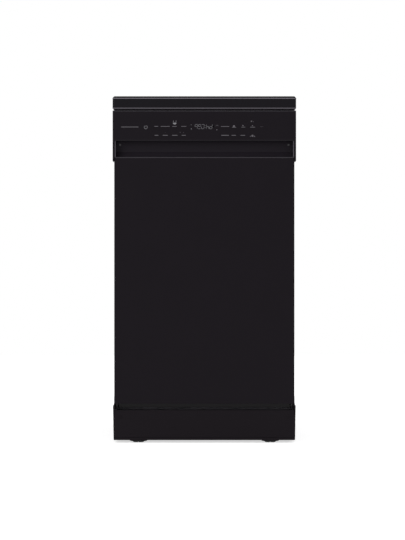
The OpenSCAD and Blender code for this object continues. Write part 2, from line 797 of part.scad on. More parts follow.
module panel_screws() color("silver") {
    for (side = [-1, 1], i = [0:3])
        translate([side * (panel_out - 6), rear_panel_y + sheet_t,
            base_h + 40 + i * (worktop_z - base_h - 80) / 3])
            rotate([-90, 0, 0]) screw_head(4, 2);
    for (side = [-1, 1])
        translate([side * (cheek_in - 16), plinth_y, plinth_low + 50])
            rotate([90, 0, 0]) screw_head(3.5, 1);
}

// ---------- sump, filters and softener ----------

sump_r = 104;
bowl_r = 88;
sump_low = tub_floor - 53;

module sump() color("#2c2c2e") {
    top = tub_floor - tub_t;
    translate([sump_at[0], sump_at[1], 0]) rotate_extrude($fn = round_fn)
        polygon(strip([[sump_r, top], [bowl_r + 3, top], [bowl_r, top - 6],
            [bowl_r, sump_low + 18], [60, sump_low], [0, sump_low]], plastic_t));
}

module filter_plate() color("silver") difference() {
    rod_z(tub_floor, tub_floor + filter_plate_t, sump_at[0], sump_at[1], filter_plate_r);
    rod_z(tub_floor - 1, tub_floor + 3, filter_at[0], filter_at[1], filter_r + 1);
    rod_z(tub_floor - 1, tub_floor + 3, hub[0], hub[1], 16);
}

module filter_cylinder() color("#3f4144") translate([filter_at[0], filter_at[1], 0]) {
    low = sump_low + 18;
    rim = tub_floor + filter_plate_t;
    rotate_extrude($fn = round_fn) polygon(strip([[0, low], [filter_r, low], [filter_r, rim + hair],
        [filter_r + 5, rim + hair]], plastic_t));
    box_between([-3, -22, low + 1], [3, 22, rim + 14]);
    rod_z(rim + 6, rim + 14, 0, 0, 9);
}

module softener() color("#d8d8d4") {
    side = -(cheek_in - 8);
    difference() {
        union() {
            box_between([side, salt_at[1] - 62, 14], [salt_at[0] + 34, salt_at[1] + 110, tub_floor - 14]);
            rod_z(tub_floor - 15, tub_floor - tub_t, salt_at[0], salt_at[1], salt_neck_r + 5);
            rod_z(tub_floor - 15, tub_floor + 1.5, salt_at[0], salt_at[1], salt_neck_r);
        }
        rod_z(tub_floor - 60, tub_floor + 3, salt_at[0], salt_at[1], salt_bore_r);
    }
    rod_y(salt_at[1] + 109, salt_at[1] + 122, side + 30, 60, 7);
    box_between([side + 10, salt_at[1] - 30, base_floor_z], [side + 22, salt_at[1] + 90, 15]);
    box_between([salt_at[0] + 10, salt_at[1] - 30, base_floor_z], [salt_at[0] + 22, salt_at[1] + 90, 15]);
}

module salt_cap() color("#f0f0ee") translate([salt_at[0], salt_at[1], 0]) {
    low = tub_floor + 1.5 + fit;
    rod_z(tub_floor - 10, low + 1, 0, 0, salt_bore_r - 0.2);
    rod_z(low, low + 8, 0, 0, salt_neck_r + 2);
    box_between([-24, -3, low + 7.9], [24, 3, low + 13]);
}

// ---------- pumps and connections ----------

pump_at = [half_w - 62, 58];

module wash_pump() color("#46484b") {
    rod_y(sump_at[1] - 62, sump_at[1] - 36, pump_at[0], pump_at[1], 38);
    rod_y(sump_at[1] - 36.5, sump_at[1] + 84, pump_at[0], pump_at[1], 31);
    rod_z(base_floor_z, pump_at[1] - 20, pump_at[0], sump_at[1] - 48, 9);
    rod_z(base_floor_z, pump_at[1] - 20, pump_at[0], sump_at[1] + 60, 9);
    rod_z(pump_at[1] + 30, sump_low + 24, pump_at[0], sump_at[1] - 49, 12);
}

drain_pump_at = [-(half_w - 164), 150, 45];

module drain_pump() color("#2f3033") {
    x = drain_pump_at[0];
    y = drain_pump_at[1];
    rod_x(x - 20, x, y, 45, 26);
    rod_x(x - 0.5, x + 62, y, 45, 20);
    rod_z(base_floor_z, 30, x - 10, y, 8);
    rod_z(base_floor_z, 30, x + 48, y, 8);
}

// Both hose ports have a thin flange against the outside of the base wall
port_flange_t = 2;

module port(at, r, inner_y) {
    rod_y(inner_y, base_rear_y + 1, at[0], at[1], r - 1);
    rod_y(base_rear_y, base_rear_y + port_flange_t, at[0], at[1], r + 4);
    rod_y(base_rear_y + port_flange_t, rear_y - 1, at[0], at[1], r);
}

module inlet_valve() color("#e4e4e0") {
    port(inlet_at, inlet_r, base_rear_y - 12);
    box_between([inlet_at[0] - 18, base_rear_y - 44, inlet_at[1] - 18],
        [inlet_at[0] + 18, base_rear_y - base_t, inlet_at[1] + 18]);
    rod_z(inlet_at[1] + 17, inlet_at[1] + 34, inlet_at[0], base_rear_y - 26, 7);
    rod_x(inlet_at[0] + 17, inlet_at[0] + 40, base_rear_y - 26, inlet_at[1], 14);
}

module drain_outlet() color("#2c2c2e") {
    port(drain_at, drain_r, base_rear_y - 18);
    rod_y(base_rear_y - base_t - 5, base_rear_y - base_t, drain_at[0], drain_at[1], drain_r + 6);
}

module cable_gland() color("#2c2c2e") difference() {
    union() {
        rod_y(base_rear_y - 10, base_rear_y + 8, gland_at[0], gland_at[1], gland_r);
        rod_y(base_rear_y - base_t - 4, base_rear_y - base_t, gland_at[0], gland_at[1], gland_r + 4);
    }
    rod_y(base_rear_y - 11, base_rear_y + 9, gland_at[0], gland_at[1], lead_r);
}

air_break_z = [330, 610];
air_break_y = [-80, 120];

module air_break() color("#cfd2d4") {
    felt_x = tub_half + tub_t + fit + felt_t;
    prism_x(even_rect([air_break_y[0], air_break_z[0]], [air_break_y[1], air_break_z[1]], 12),
        -panel_in, -(felt_x + 3));
    for (i = [1:5])
        box_between([-(felt_x + 3.5), air_break_y[0] + 16, air_break_z[0] + i * 46],
            [-(felt_x + 1.5), air_break_y[1] - 16, air_break_z[0] + i * 46 + 4]);
}

// Straight runs of hose with ball-shaped elbows
module elbow(at, r) { translate(at) sphere(r = r + 1.5); }

module sump_hoses() color("#232325") {
    feed_y = base_rear_y - 26;
    feed_z = inlet_at[1] + 42;
    feed_x = -(panel_in - 8);
    up_z = air_break_z[0] + 20;
    rod_z(inlet_at[1] + 34, feed_z, inlet_at[0], feed_y, 6);
    rod_x(feed_x, inlet_at[0], feed_y, feed_z, 6);
    rod_z(feed_z, up_z, feed_x, feed_y, 6);
    rod_y(air_break_y[1], feed_y, feed_x, up_z, 6);
    elbow([inlet_at[0], feed_y, feed_z], 6);
    elbow([feed_x, feed_y, feed_z], 6);
    elbow([feed_x, feed_y, up_z], 6);
    suction_z = sump_low + 38;
    suction_y = sump_at[1] - 49;
    suction_r = 11;
    bowl_side = sqrt(pow(bowl_r + plastic_t, 2) - pow(49 - suction_r, 2));
    rod_x(sump_at[0] + bowl_side + hair, pump_at[0], suction_y, suction_z, suction_r);
    rod_z(sump_low + 24, suction_z, pump_at[0], suction_y, 12);
    elbow([pump_at[0], suction_y, suction_z], 12);
    drain_x = drain_at[0];
    low_z = drain_pump_at[2];
    rod_x(drain_x, drain_pump_at[0] - 20, drain_pump_at[1], low_z, 9);
    rod_y(drain_pump_at[1], base_rear_y - 40, drain_x, low_z, 9);
    rod_z(low_z, drain_at[1], drain_x, base_rear_y - 40, 9);
    rod_y(base_rear_y - 40, base_rear_y - 18, drain_x, drain_at[1], 9);
    elbow([drain_x, drain_pump_at[1], low_z], 9);
    elbow([drain_x, base_rear_y - 40, low_z], 9);
    elbow([drain_x, base_rear_y - 40, drain_at[1]], 9);
}

// ---------- spray system ----------

port_y = riser_y - 6;
port_r = 9;
port_z = (feed_low + feed_top) / 2;

module feed_duct() color("#3a3c3f") difference() {
    union() {
        box_between([-duct_half, hub[1], duct_low], [duct_half, tub_rear, duct_top]);
        rod_z(duct_low, duct_top, hub[0], hub[1], 22);
        rod_z(tub_floor - 12, duct_low + 1, hub[0], hub[1], 14);
        rod_z(duct_top - 1, lower_arm_z + spray_arm_t + 2, hub[0], hub[1], spray_pin_r);
        rod_z(lower_arm_z + spray_arm_t + 0.6, lower_arm_z + spray_arm_t + 5, hub[0], hub[1], 13);
        box_between([-riser_half, riser_y, duct_low], [riser_half, tub_rear, ceiling_pipe_top]);
        rod_y(port_y, riser_y + 1, 0, port_z, port_r);
        box_between([-ceiling_pipe_half, hub[1] - 16, ceiling_pipe_low],
            [ceiling_pipe_half, tub_rear, ceiling_pipe_top]);
    }
    t = duct_t;
    box_between([-duct_half + t, hub[1], duct_low + t], [duct_half - t, tub_rear - t, duct_top - t]);
    box_between([-riser_half + t, riser_y + t, duct_low + t],
        [riser_half - t, tub_rear - t, ceiling_pipe_top - t]);
    box_between([-ceiling_pipe_half + t, hub[1] - 16 + t, ceiling_pipe_low + t],
        [ceiling_pipe_half - t, tub_rear - t, ceiling_pipe_top - t]);
    rod_y(port_y - 1, riser_y + 5, 0, port_z, port_r - 2);
    rod_z(tub_floor - 13, duct_low + 5, hub[0], hub[1], 11);
}

module ceiling_spray() color("#3a3c3f") {
    rod_z(ceiling_pipe_low - 5, ceiling_pipe_low, hub[0], hub[1], 9);
    translate([hub[0], hub[1], ceiling_pipe_low - 13]) rotate_extrude()
        polygon([[0, 0], [14, 0], [30, 5], [30, 8], [0, 8]]);
}

// Outline of half a spray arm, from the hub to its rounded tip
module spray_arm(z, reach) difference() {
    tip = 15;
    union() {
        for (turn = [0, 180])
            translate([hub[0], hub[1], 0]) rotate([0, 0, turn])
                prism_z(concat([[0, -24]], arc([reach - tip, 0], tip, -75, 75, 8), [[0, 24]]),
                    z + 2, z + spray_arm_t - 2);
        rod_z(z, z + spray_arm_t, hub[0], hub[1], 20);
    }
    rod_z(z - 1, z + spray_arm_t + 1, hub[0], hub[1], spray_pin_r + spray_clearance);
    for (turn = [0, 180], i = [2:6])
        translate([hub[0], hub[1], z + 4]) rotate([0, 0, turn])
            translate([i * reach / 7, (i % 2) * 12 - 6, 0]) cylinder(r = 2, h = spray_arm_t);
}

module lower_spray_arm() color("#8e9296") spray_arm(lower_arm_z, lower_arm_reach);
module upper_spray_arm() color("#8e9296") spray_arm(upper_arm_z, upper_arm_reach);

module upper_feed_tube() color("#3a3c3f") difference() {
    union() {
        box_between([-feed_half, hub[1], feed_low], [feed_half, port_y - 8, feed_top]);
        rod_z(feed_low, feed_top, hub[0], hub[1], 20);
        rod_y(port_y - 9, port_y - 1, 0, port_z, 5.9);
        rod_z(upper_arm_z - 4, feed_low + 1, hub[0], hub[1], spray_pin_r);
        rod_z(upper_arm_z - 5, upper_arm_z - 0.6, hub[0], hub[1], 13);
    }
    t = duct_t;
    box_between([-feed_half + t, hub[1], feed_low + t], [feed_half - t, port_y - 8 - t, feed_top - t]);
    rod_y(port_y - 12, port_y, 0, port_z, 4);
}

// ---------- lower basket ----------

module wire_frame(half, z) {
    side_r = rim_r;
    for (x = [-half, half])
        wire_y(basket_front, basket_rear, x, z, side_r);
    for (y = [basket_front + side_r, basket_rear - side_r])
        wire_x(-half + side_r + hair, half - side_r - hair, y, z, side_r);
}

function spread(from, to, pitch) =
    let (n = max(1, round((to - from) / pitch)))
        [for (i = [0:n]) from + (to - from) * i / n];

module uprights(half, z0, z1, pitch) {
    low = z0 + rim_r + hair;
    high = z1 - rim_r - hair;
    for (x = [-half, half], y = spread(basket_front + 24, basket_rear - 28, pitch))
        wire_z(low, high, x, y);
    for (x = spread(-half + 30, half - 30, pitch), y = [basket_front + rim_r, basket_rear - rim_r])
        wire_z(low, high, x, y);
}

module floor_wires(half, z, rows) {
    for (y = rows)
        wire_x(-half + rim_r + hair, half - rim_r - hair, y, z);
    for (x = [-half / 2, 0, half / 2])
        wire_y(basket_front + rim_r, basket_rear - rim_r, x, z - 2 * wire_r - hair);
}

// A row of upright tines standing on the floor wires
module tines(y, low, len) {
    for (x = [-tine_half:tine_pitch:tine_half])
        wire_z(low, low + len, x, y, tine_r);
}

module rack_clip(x, y) difference() {
    box_between([x - 4, y - 5, lower_basket_z + wire_r + hair], [x + 4, y + 5, rack_z + 5]);
    rod_x(x - 5, x + 5, y, rack_z, rack_bore_r);
}

module wheel_bracket(y) {
    high = lower_basket_z - wire_r - hair;
    prism_x([[y - 6, wheel_z - 6], [y + 6, wheel_z - 6], [y + 14, high], [y - 14, high]],
        wheel_in - 2, wheel_in - fit);
    rod_x(wheel_in - 1, wheel_in + wheel_w + fit + 0.5, y, wheel_z, wheel_pin_r);
    rod_x(wheel_in + wheel_w + fit, wheel_in + wheel_w + fit + 1.2, y, wheel_z, 5.5);
}

module lower_basket() color("#5b5d60") {
    wire_frame(lower_half, lower_basket_z);
    wire_frame(lower_half, lower_basket_top);
    uprights(lower_half, lower_basket_z, lower_basket_top, 62);
    floor_wires(lower_half, lower_basket_z, lower_rows);
    tines(lower_rows[3], lower_basket_z + wire_r + hair, tine_len);
    tines(lower_rows[5], lower_basket_z + wire_r + hair, tine_len);
    for (x = [-1, 1] * (tine_half + 11), y = [lower_rows[2], lower_rows[4]])
        rack_clip(x, y);
    both_sides() {
        wheel_bracket(wheel_front_y);
        wheel_bracket(wheel_rear_y);
    }
    box_between([-45, basket_front - 4, lower_basket_top - 10],
        [45, basket_front - hair, lower_basket_top + 6]);
}

module wheels(y) color("#6f7174") both_sides()
    translate([wheel_in, y, wheel_z]) rotate([0, 90, 0]) rotate_extrude($fn = round_fn) polygon([
        [wheel_pin_r + 0.1, 0], [wheel_pin_r + 3, 0], [wheel_pin_r + 3, 1.5], [wheel_r - 3, 1.5],
        [wheel_r - 3, 0], [wheel_r - 0.8, 0], [wheel_r, 0.8], [wheel_r, wheel_w - 0.8],
        [wheel_r - 0.8, wheel_w], [wheel_pin_r + 0.1, wheel_w]]);

module lower_wheels_front() wheels(wheel_front_y);
module lower_wheels_rear() wheels(wheel_rear_y);

module plate_rack(y) color("#5b5d60") {
    reach = tine_half + 17;
    wire_len = tine_len - 8;
    rod_x(-reach, reach, y, rack_z, wire_r);
    tines(y, rack_z + wire_r + hair, wire_len);
}

module plate_rack_front() plate_rack(lower_rows[2]);
module plate_rack_rear() plate_rack(lower_rows[4]);

module cutlery_basket() color("#55575a") {
    t = 2;
    cell = (cutlery_half * 2 - t) / cutlery_cells;
    rear = cutlery_front + cutlery_depth;
    difference() {
        box_between([-cutlery_half, cutlery_front, cutlery_low],
            [cutlery_half, rear, cutlery_low + cutlery_h]);
        for (i = [0:cutlery_cells - 1])
            box_between([-cutlery_half + t + i * cell, cutlery_front + t, cutlery_low + t],
                [-cutlery_half + (i + 1) * cell, rear - t, cutlery_low + cutlery_h + 1]);
    }
    middle = (cutlery_front + rear) / 2;
    for (x = [-cell, cell])
        box_between([x - 2, middle - 4, cutlery_low + cutlery_h - 20],
            [x + 2, middle + 4, cutlery_low + cutlery_h + 22]);
    box_between([-cell - 2, middle - 5, cutlery_low + cutlery_h + 16],
        [cell + 2, middle + 5, cutlery_low + cutlery_h + 24]);
}

// ---------- upper basket and its rails ----------

upper_rows = spread(basket_front + 40, basket_rear - 40, 62);
upper_tine_len = 46;

module upper_basket() color("#5b5d60") {
    wire_frame(upper_half, upper_basket_z);
    wire_frame(upper_half, upper_basket_top);
    uprights(upper_half, upper_basket_z, upper_basket_top, 62);
    floor_wires(upper_half, upper_basket_z, upper_rows);
    for (x = [-1, 1] * upper_half / 3.2, y = upper_rows)
        wire_z(upper_basket_z + wire_r + hair, upper_basket_z + upper_tine_len, x, y, tine_r);
    for (x = [-1, 1] * shelf_x, y = shelf_clips)
        shelf_clip(x, y);
    box_between([-45, basket_front - 4, upper_basket_top - 10],
        [45, basket_front - hair, upper_basket_top + 6]);
}

side_posts = spread(basket_front + 24, basket_rear - 28, 62);
shelf_clips = [side_posts[1], side_posts[len(side_posts) - 2]];

module shelf_clip(x, y) difference() {
    side = x > 0 ? 1 : -1;
    inner = x - side * 4;
    outer = side * (upper_half - wire_r - hair);
    box_between([min(inner, outer), y - 4, shelf_z - 5], [max(inner, outer), y + 4, shelf_z + 5]);
    rod_y(y - 5, y + 5, x, shelf_z, rack_bore_r);
}

module cup_shelf() color("#5b5d60") {
    tip_x = shelf_x - cup_shelf_reach;
    rod_y(shelf_clips[0] - 24, shelf_clips[1] + 24, shelf_x, shelf_z, wire_r);
    wire_y(shelf_clips[0] - 24, shelf_clips[1] + 24, tip_x, shelf_z);
    for (y = spread(shelf_clips[0] + 15, shelf_clips[1] - 15, 34))
        wire_x(tip_x + wire_r + hair, shelf_x - wire_r - hair, y, shelf_z, tine_r);
}

module cup_shelf_right() cup_shelf();
module cup_shelf_left() mirror([1, 0, 0]) cup_shelf();

// Nested channels: each is an outline open towards the basket
module channel(x_in, x_out, half_h, y1) both_sides() prism_y(
    strip([[x_in, rail_mid_z - half_h], [x_out, rail_mid_z - half_h],
        [x_out, rail_mid_z + half_h], [x_in, rail_mid_z + half_h]], rail_wall), -rail_half_y, y1);

module rail_outer() color("silver") channel(tub_half - 10, tub_half, 12, rail_half_y);
module rail_middle() color("silver")
    channel(tub_half - 13, tub_half - rail_wall - 0.8, 12 - rail_wall - 0.8, rail_half_y);

module rail_inner() color("silver") {
    half_h = 12 - 2 * rail_wall - 1.6;
    channel(upper_half + rim_r + 3, tub_half - 2 * rail_wall - 1.6, half_h, rail_half_y - 16);
    both_sides() for (y = [basket_front + 40, basket_rear - 40])
        box_between([upper_half + wire_r + hair, y - 20, rail_mid_z - half_h],
            [upper_half + rim_r + 3.5, y + 20, rail_mid_z + half_h]);
}

worktop_board();
worktop_trim();
side_panel_left();
side_panel_right();
rear_panel();
cross_rails();
striker();
tub();
tub_gasket();
tub_insulation();
base_tray();
base_frame();
plinth();
foot_front_left();
foot_front_right();
rear_foot();
hinge_brackets();
door_springs();
hinge_arms();
outer_door_panel();
inner_door_liner();
fascia();
handle_bowl();
control_board();
door_latch();
latch_claw();
dispenser_body();
dispenser_lid();
rinse_aid_cap();
door_screws();
panel_screws();
sump();
filter_plate();
filter_cylinder();
salt_cap();
softener();
wash_pump();
drain_pump();
inlet_valve();
drain_outlet();
cable_gland();
air_break();
sump_hoses();
feed_duct();
lower_spray_arm();
upper_feed_tube();
upper_spray_arm();
ceiling_spray();
lower_basket();
lower_wheels_front();
lower_wheels_rear();
cutlery_basket();
plate_rack_front();
plate_rack_rear();
upper_basket();
cup_shelf_left();
cup_shelf_right();
rail_outer();
rail_middle();
rail_inner();
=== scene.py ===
"""Slimline dishwasher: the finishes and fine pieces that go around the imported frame."""
import json
import math

import bmesh
import bpy
from bpy.props import FloatProperty, FloatVectorProperty, IntProperty, PointerProperty
from mathutils import Matrix, Vector

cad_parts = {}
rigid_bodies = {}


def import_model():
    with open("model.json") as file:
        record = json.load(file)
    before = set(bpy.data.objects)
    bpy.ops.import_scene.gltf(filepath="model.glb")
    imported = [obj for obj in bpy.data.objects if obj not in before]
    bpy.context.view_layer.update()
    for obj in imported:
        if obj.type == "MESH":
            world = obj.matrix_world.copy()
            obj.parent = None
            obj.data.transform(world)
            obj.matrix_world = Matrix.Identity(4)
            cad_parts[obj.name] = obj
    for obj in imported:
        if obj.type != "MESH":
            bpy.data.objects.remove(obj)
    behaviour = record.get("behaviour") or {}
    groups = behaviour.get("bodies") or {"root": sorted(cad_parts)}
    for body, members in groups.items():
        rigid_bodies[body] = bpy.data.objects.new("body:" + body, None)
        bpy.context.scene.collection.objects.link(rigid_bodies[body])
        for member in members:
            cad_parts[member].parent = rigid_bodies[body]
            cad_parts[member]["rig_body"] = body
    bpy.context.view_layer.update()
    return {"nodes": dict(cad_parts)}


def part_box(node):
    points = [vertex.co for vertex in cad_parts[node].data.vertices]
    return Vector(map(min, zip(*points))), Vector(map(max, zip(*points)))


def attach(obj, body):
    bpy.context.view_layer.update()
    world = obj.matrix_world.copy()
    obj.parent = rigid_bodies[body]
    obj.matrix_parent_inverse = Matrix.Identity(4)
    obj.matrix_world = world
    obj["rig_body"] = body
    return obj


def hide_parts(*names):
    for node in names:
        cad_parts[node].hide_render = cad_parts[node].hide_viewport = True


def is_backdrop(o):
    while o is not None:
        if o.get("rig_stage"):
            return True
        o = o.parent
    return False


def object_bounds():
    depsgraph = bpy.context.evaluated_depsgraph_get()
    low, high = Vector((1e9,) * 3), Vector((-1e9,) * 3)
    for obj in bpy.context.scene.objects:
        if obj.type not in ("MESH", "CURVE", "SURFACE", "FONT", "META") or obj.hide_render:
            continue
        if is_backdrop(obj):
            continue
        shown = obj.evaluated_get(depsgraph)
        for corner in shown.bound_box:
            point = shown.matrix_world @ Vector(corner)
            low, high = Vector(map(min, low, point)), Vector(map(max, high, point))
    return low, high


bl_info = {
    "name": "Slimline dishwasher",
    "version": (1, 0, 0),
    "blender": (4, 5, 0),
    "location": "3D View > Sidebar > Dishwasher",
    "description": "Builds the finishes and fine pieces of a 45 cm dishwasher",
    "category": "Object",
}

for leftover in list(bpy.data.objects):
    bpy.data.objects.remove(leftover)
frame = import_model()

MM = 0.001
SHARP_ANGLE = math.radians(38)


# ---------- small helpers ----------

def srgb(code):
    """Linear colour of a hex code such as #1f1c20."""
    parts = [int(code[i:i + 2], 16) / 255 for i in (1, 3, 5)]
    return (*(c / 12.92 if c <= 0.04045 else ((c + 0.055) / 1.055) ** 2.4 for c in parts), 1.0)


def add_node(tree, kind, inputs=None, **settings):
    """Adds a node, gives it its settings, and sets or links its inputs."""
    node = tree.nodes.new(kind)
    for key, value in settings.items():
        setattr(node, key, value)
    for key, value in (inputs or {}).items():
        if isinstance(value, bpy.types.NodeSocket):
            tree.links.new(value, node.inputs[key])
        else:
            node.inputs[key].default_value = value
    return node


def span(node):
    """Lowest and highest corner of a frame node, in millimetres."""
    low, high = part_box(node)
    return low / MM, high / MM


def spread(start, end, count):
    """Evenly spaced values, both ends included."""
    return [start + (end - start) * i / (count - 1) for i in range(count)]


def turns(count):
    """Evenly spaced angles round one full turn."""
    return spread(0, 2 * math.pi, count + 1)[:-1]


def circle(x, y, radius, count):
    """Evenly spaced points round a centre."""
    return [(x + radius * math.cos(a), y + radius * math.sin(a)) for a in turns(count)]


def body_of(node):
    """The body that a frame node rides on."""
    return frame["nodes"][node]["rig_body"]


def placed(name, data):
    """An object in the scene that holds the data."""
    holder = bpy.data.objects.new(name, data)
    bpy.context.scene.collection.objects.link(holder)
    return holder


# ---------- sizes and colours that a user would change ----------

def length(label, note, size):
    """A length property, its default given in millimetres."""
    return FloatProperty(name=label, description=note, default=size * MM, min=0.0, unit="LENGTH",
                         subtype="DISTANCE", precision=5)


def colour(label, note, code):
    """A colour property, its default given as a hex code."""
    return FloatVectorProperty(name=label, description=note, default=srgb(code), size=4,
                               min=0.0, max=1.0, subtype="COLOR")


class DishwasherSizes(bpy.types.PropertyGroup):
    """Sizes of the fine pieces."""

    rim_wire: length("Rim wire", "Radius of the basket rim wires", 3.0)
    thin_wire: length("Thin wire", "Radius of the basket floor and wall wires", 2.0)
    tine_wire: length("Tine wire", "Radius of the plate tines", 1.6)
    wire_bend: length("Wire bend", "Bend radius of the basket wires", 12.0)
    wire_sides: IntProperty(name="Wire sides", description="Flats round each wire", default=10,
                            min=6, max=24)
    filter_pitch: length("Filter pitch", "Distance between the holes of the filter plate", 5.0)
    hose_ring: length("Hose ring", "Distance between the rings of the hoses", 4.0)


class DishwasherColours(bpy.types.PropertyGroup):
    """Colours of the finishes."""

    door_black: colour("Door", "Lacquered steel of the door", "#1a161b")
    fascia_black: colour("Fascia", "Moulded control panel", "#1a161b")
    # Painted paler than the fascia, as painted light that offsets the shade inside the grip recess
    grip_black: colour("Grip", "Bowl behind the hand grip", "#29252b")
    panel_black: colour("Side panels", "Lacquered steel of the cabinet", "#1a181b")
    board_black: colour("Worktop board", "Laminate of the worktop", "#1f1f21")
    edging_black: colour("Worktop edging", "Moulded frame of the worktop", "#19171b")
    base_black: colour("Base", "Moulded base unit and plinth", "#1c181c")
    steel: colour("Stainless steel", "Tub, inner door and rails", "#cfd0d1")
    zinc: colour("Zinc", "Galvanised panels and brackets", "#a9adb0")
    # Painted light: scaled, this grey gives the painted highlights on edges and the painted shade
    # on one chamfer
    wire_grey: colour("Basket wire", "Nylon coat of the baskets", "#686a6e")
    painted_light_edge_grey: colour("Bright edges", "Edges where the mould or the cut leaves a sheen", "#454247")
    print_grey: colour("Printed marks", "Plain marks on the control panel", "#6c696e")
    lit_grey: colour("Lit marks", "Lit marks and digits on the control panel", "#757478")


class DishwasherStudio(bpy.types.PropertyGroup):
    """Camera and light."""

    camera_distance: length("Camera distance", "From the front of the machine to the camera", 4500)
    camera_height: length("Camera height", "Height of the camera over the floor", 421.7)
    camera_side: FloatProperty(name="Camera side", description="Sideways place of the camera",
                               default=-4.5 * MM, unit="LENGTH", subtype="DISTANCE", precision=5)
    picture_height: length("Picture height", "Height taken in at the front of the machine", 1314.3)
    room_light: FloatProperty(name="Room light", description="Light from all sides", default=0.6,
                              min=0.0, max=1.0)
    top_light: FloatProperty(name="Top light", description="Radiance of the soft box overhead",
                             default=4.0, min=0.0)
    front_light: FloatProperty(name="Front light", description="Radiance of the large front panel",
                               default=2.6, min=0.0)


# ---------- finishes ----------

def new_material(name):
    """A material with an empty tree."""
    material = bpy.data.materials.new(name)
    material.use_nodes = True
    material.node_tree.nodes.clear()
    return material


def scaled(tone, share):
    """A colour times a share, no brighter than white."""
    return tuple(min(1.0, c * share) for c in tone[:3]) + (1.0,)


def finish(name, base, tone, patch, rough, grain, relief, stretch=(1, 1, 1), **shader):
    """A finish from two noises: patches that vary the colour and gloss, and a grain that lifts
    the surface. A colour may be a hex code, and the second tone a share of the first. Patch,
    grain and relief are in millimetres, and stretch draws both noises out."""
    base = srgb(base) if isinstance(base, str) else base
    tone = srgb(tone) if isinstance(tone, str) else scaled(base, tone)
    material = new_material(name)
    tree = material.node_tree
    place = add_node(tree, "ShaderNodeTexCoord").outputs["Object"]
    drawn = add_node(tree, "ShaderNodeMapping", {"Vector": place, "Scale": stretch}).outputs[0]
    patches = add_node(tree, "ShaderNodeTexNoise",
                       {"Vector": drawn, "Scale": 1 / (patch * MM), "Detail": 3.0}).outputs["Fac"]
    fine = add_node(tree, "ShaderNodeTexNoise",
                    {"Vector": drawn, "Scale": 1 / (grain * MM), "Detail": 2.0}).outputs["Fac"]
    tint = add_node(tree, "ShaderNodeMix", {"Factor": patches, 6: base, 7: tone}, data_type="RGBA")
    both = add_node(tree, "ShaderNodeMath", {0: patches, 1: fine}, operation="MULTIPLY")
    # The product of the two noises runs from about 0.1 to 0.45
    gloss = add_node(tree, "ShaderNodeMapRange", {
        "Value": both.outputs[0], "From Min": 0.1, "From Max": 0.45,
        "To Min": rough[0], "To Max": rough[1]})
    bump = add_node(tree, "ShaderNodeBump",
                    {"Height": fine, "Distance": relief * MM, "Strength": 1.0})
    shade = add_node(tree, "ShaderNodeBsdfPrincipled", {
        "Base Color": tint.outputs[2], "Roughness": gloss.outputs[0], "Normal": bump.outputs[0]})
    for key, value in shader.items():
        shade.inputs[key.replace("_", " ")].default_value = value
    add_node(tree, "ShaderNodeOutputMaterial", {"Surface": shade.outputs[0]})
    return material


def look(name):
    """The finish of that name."""
    return bpy.data.materials[name]


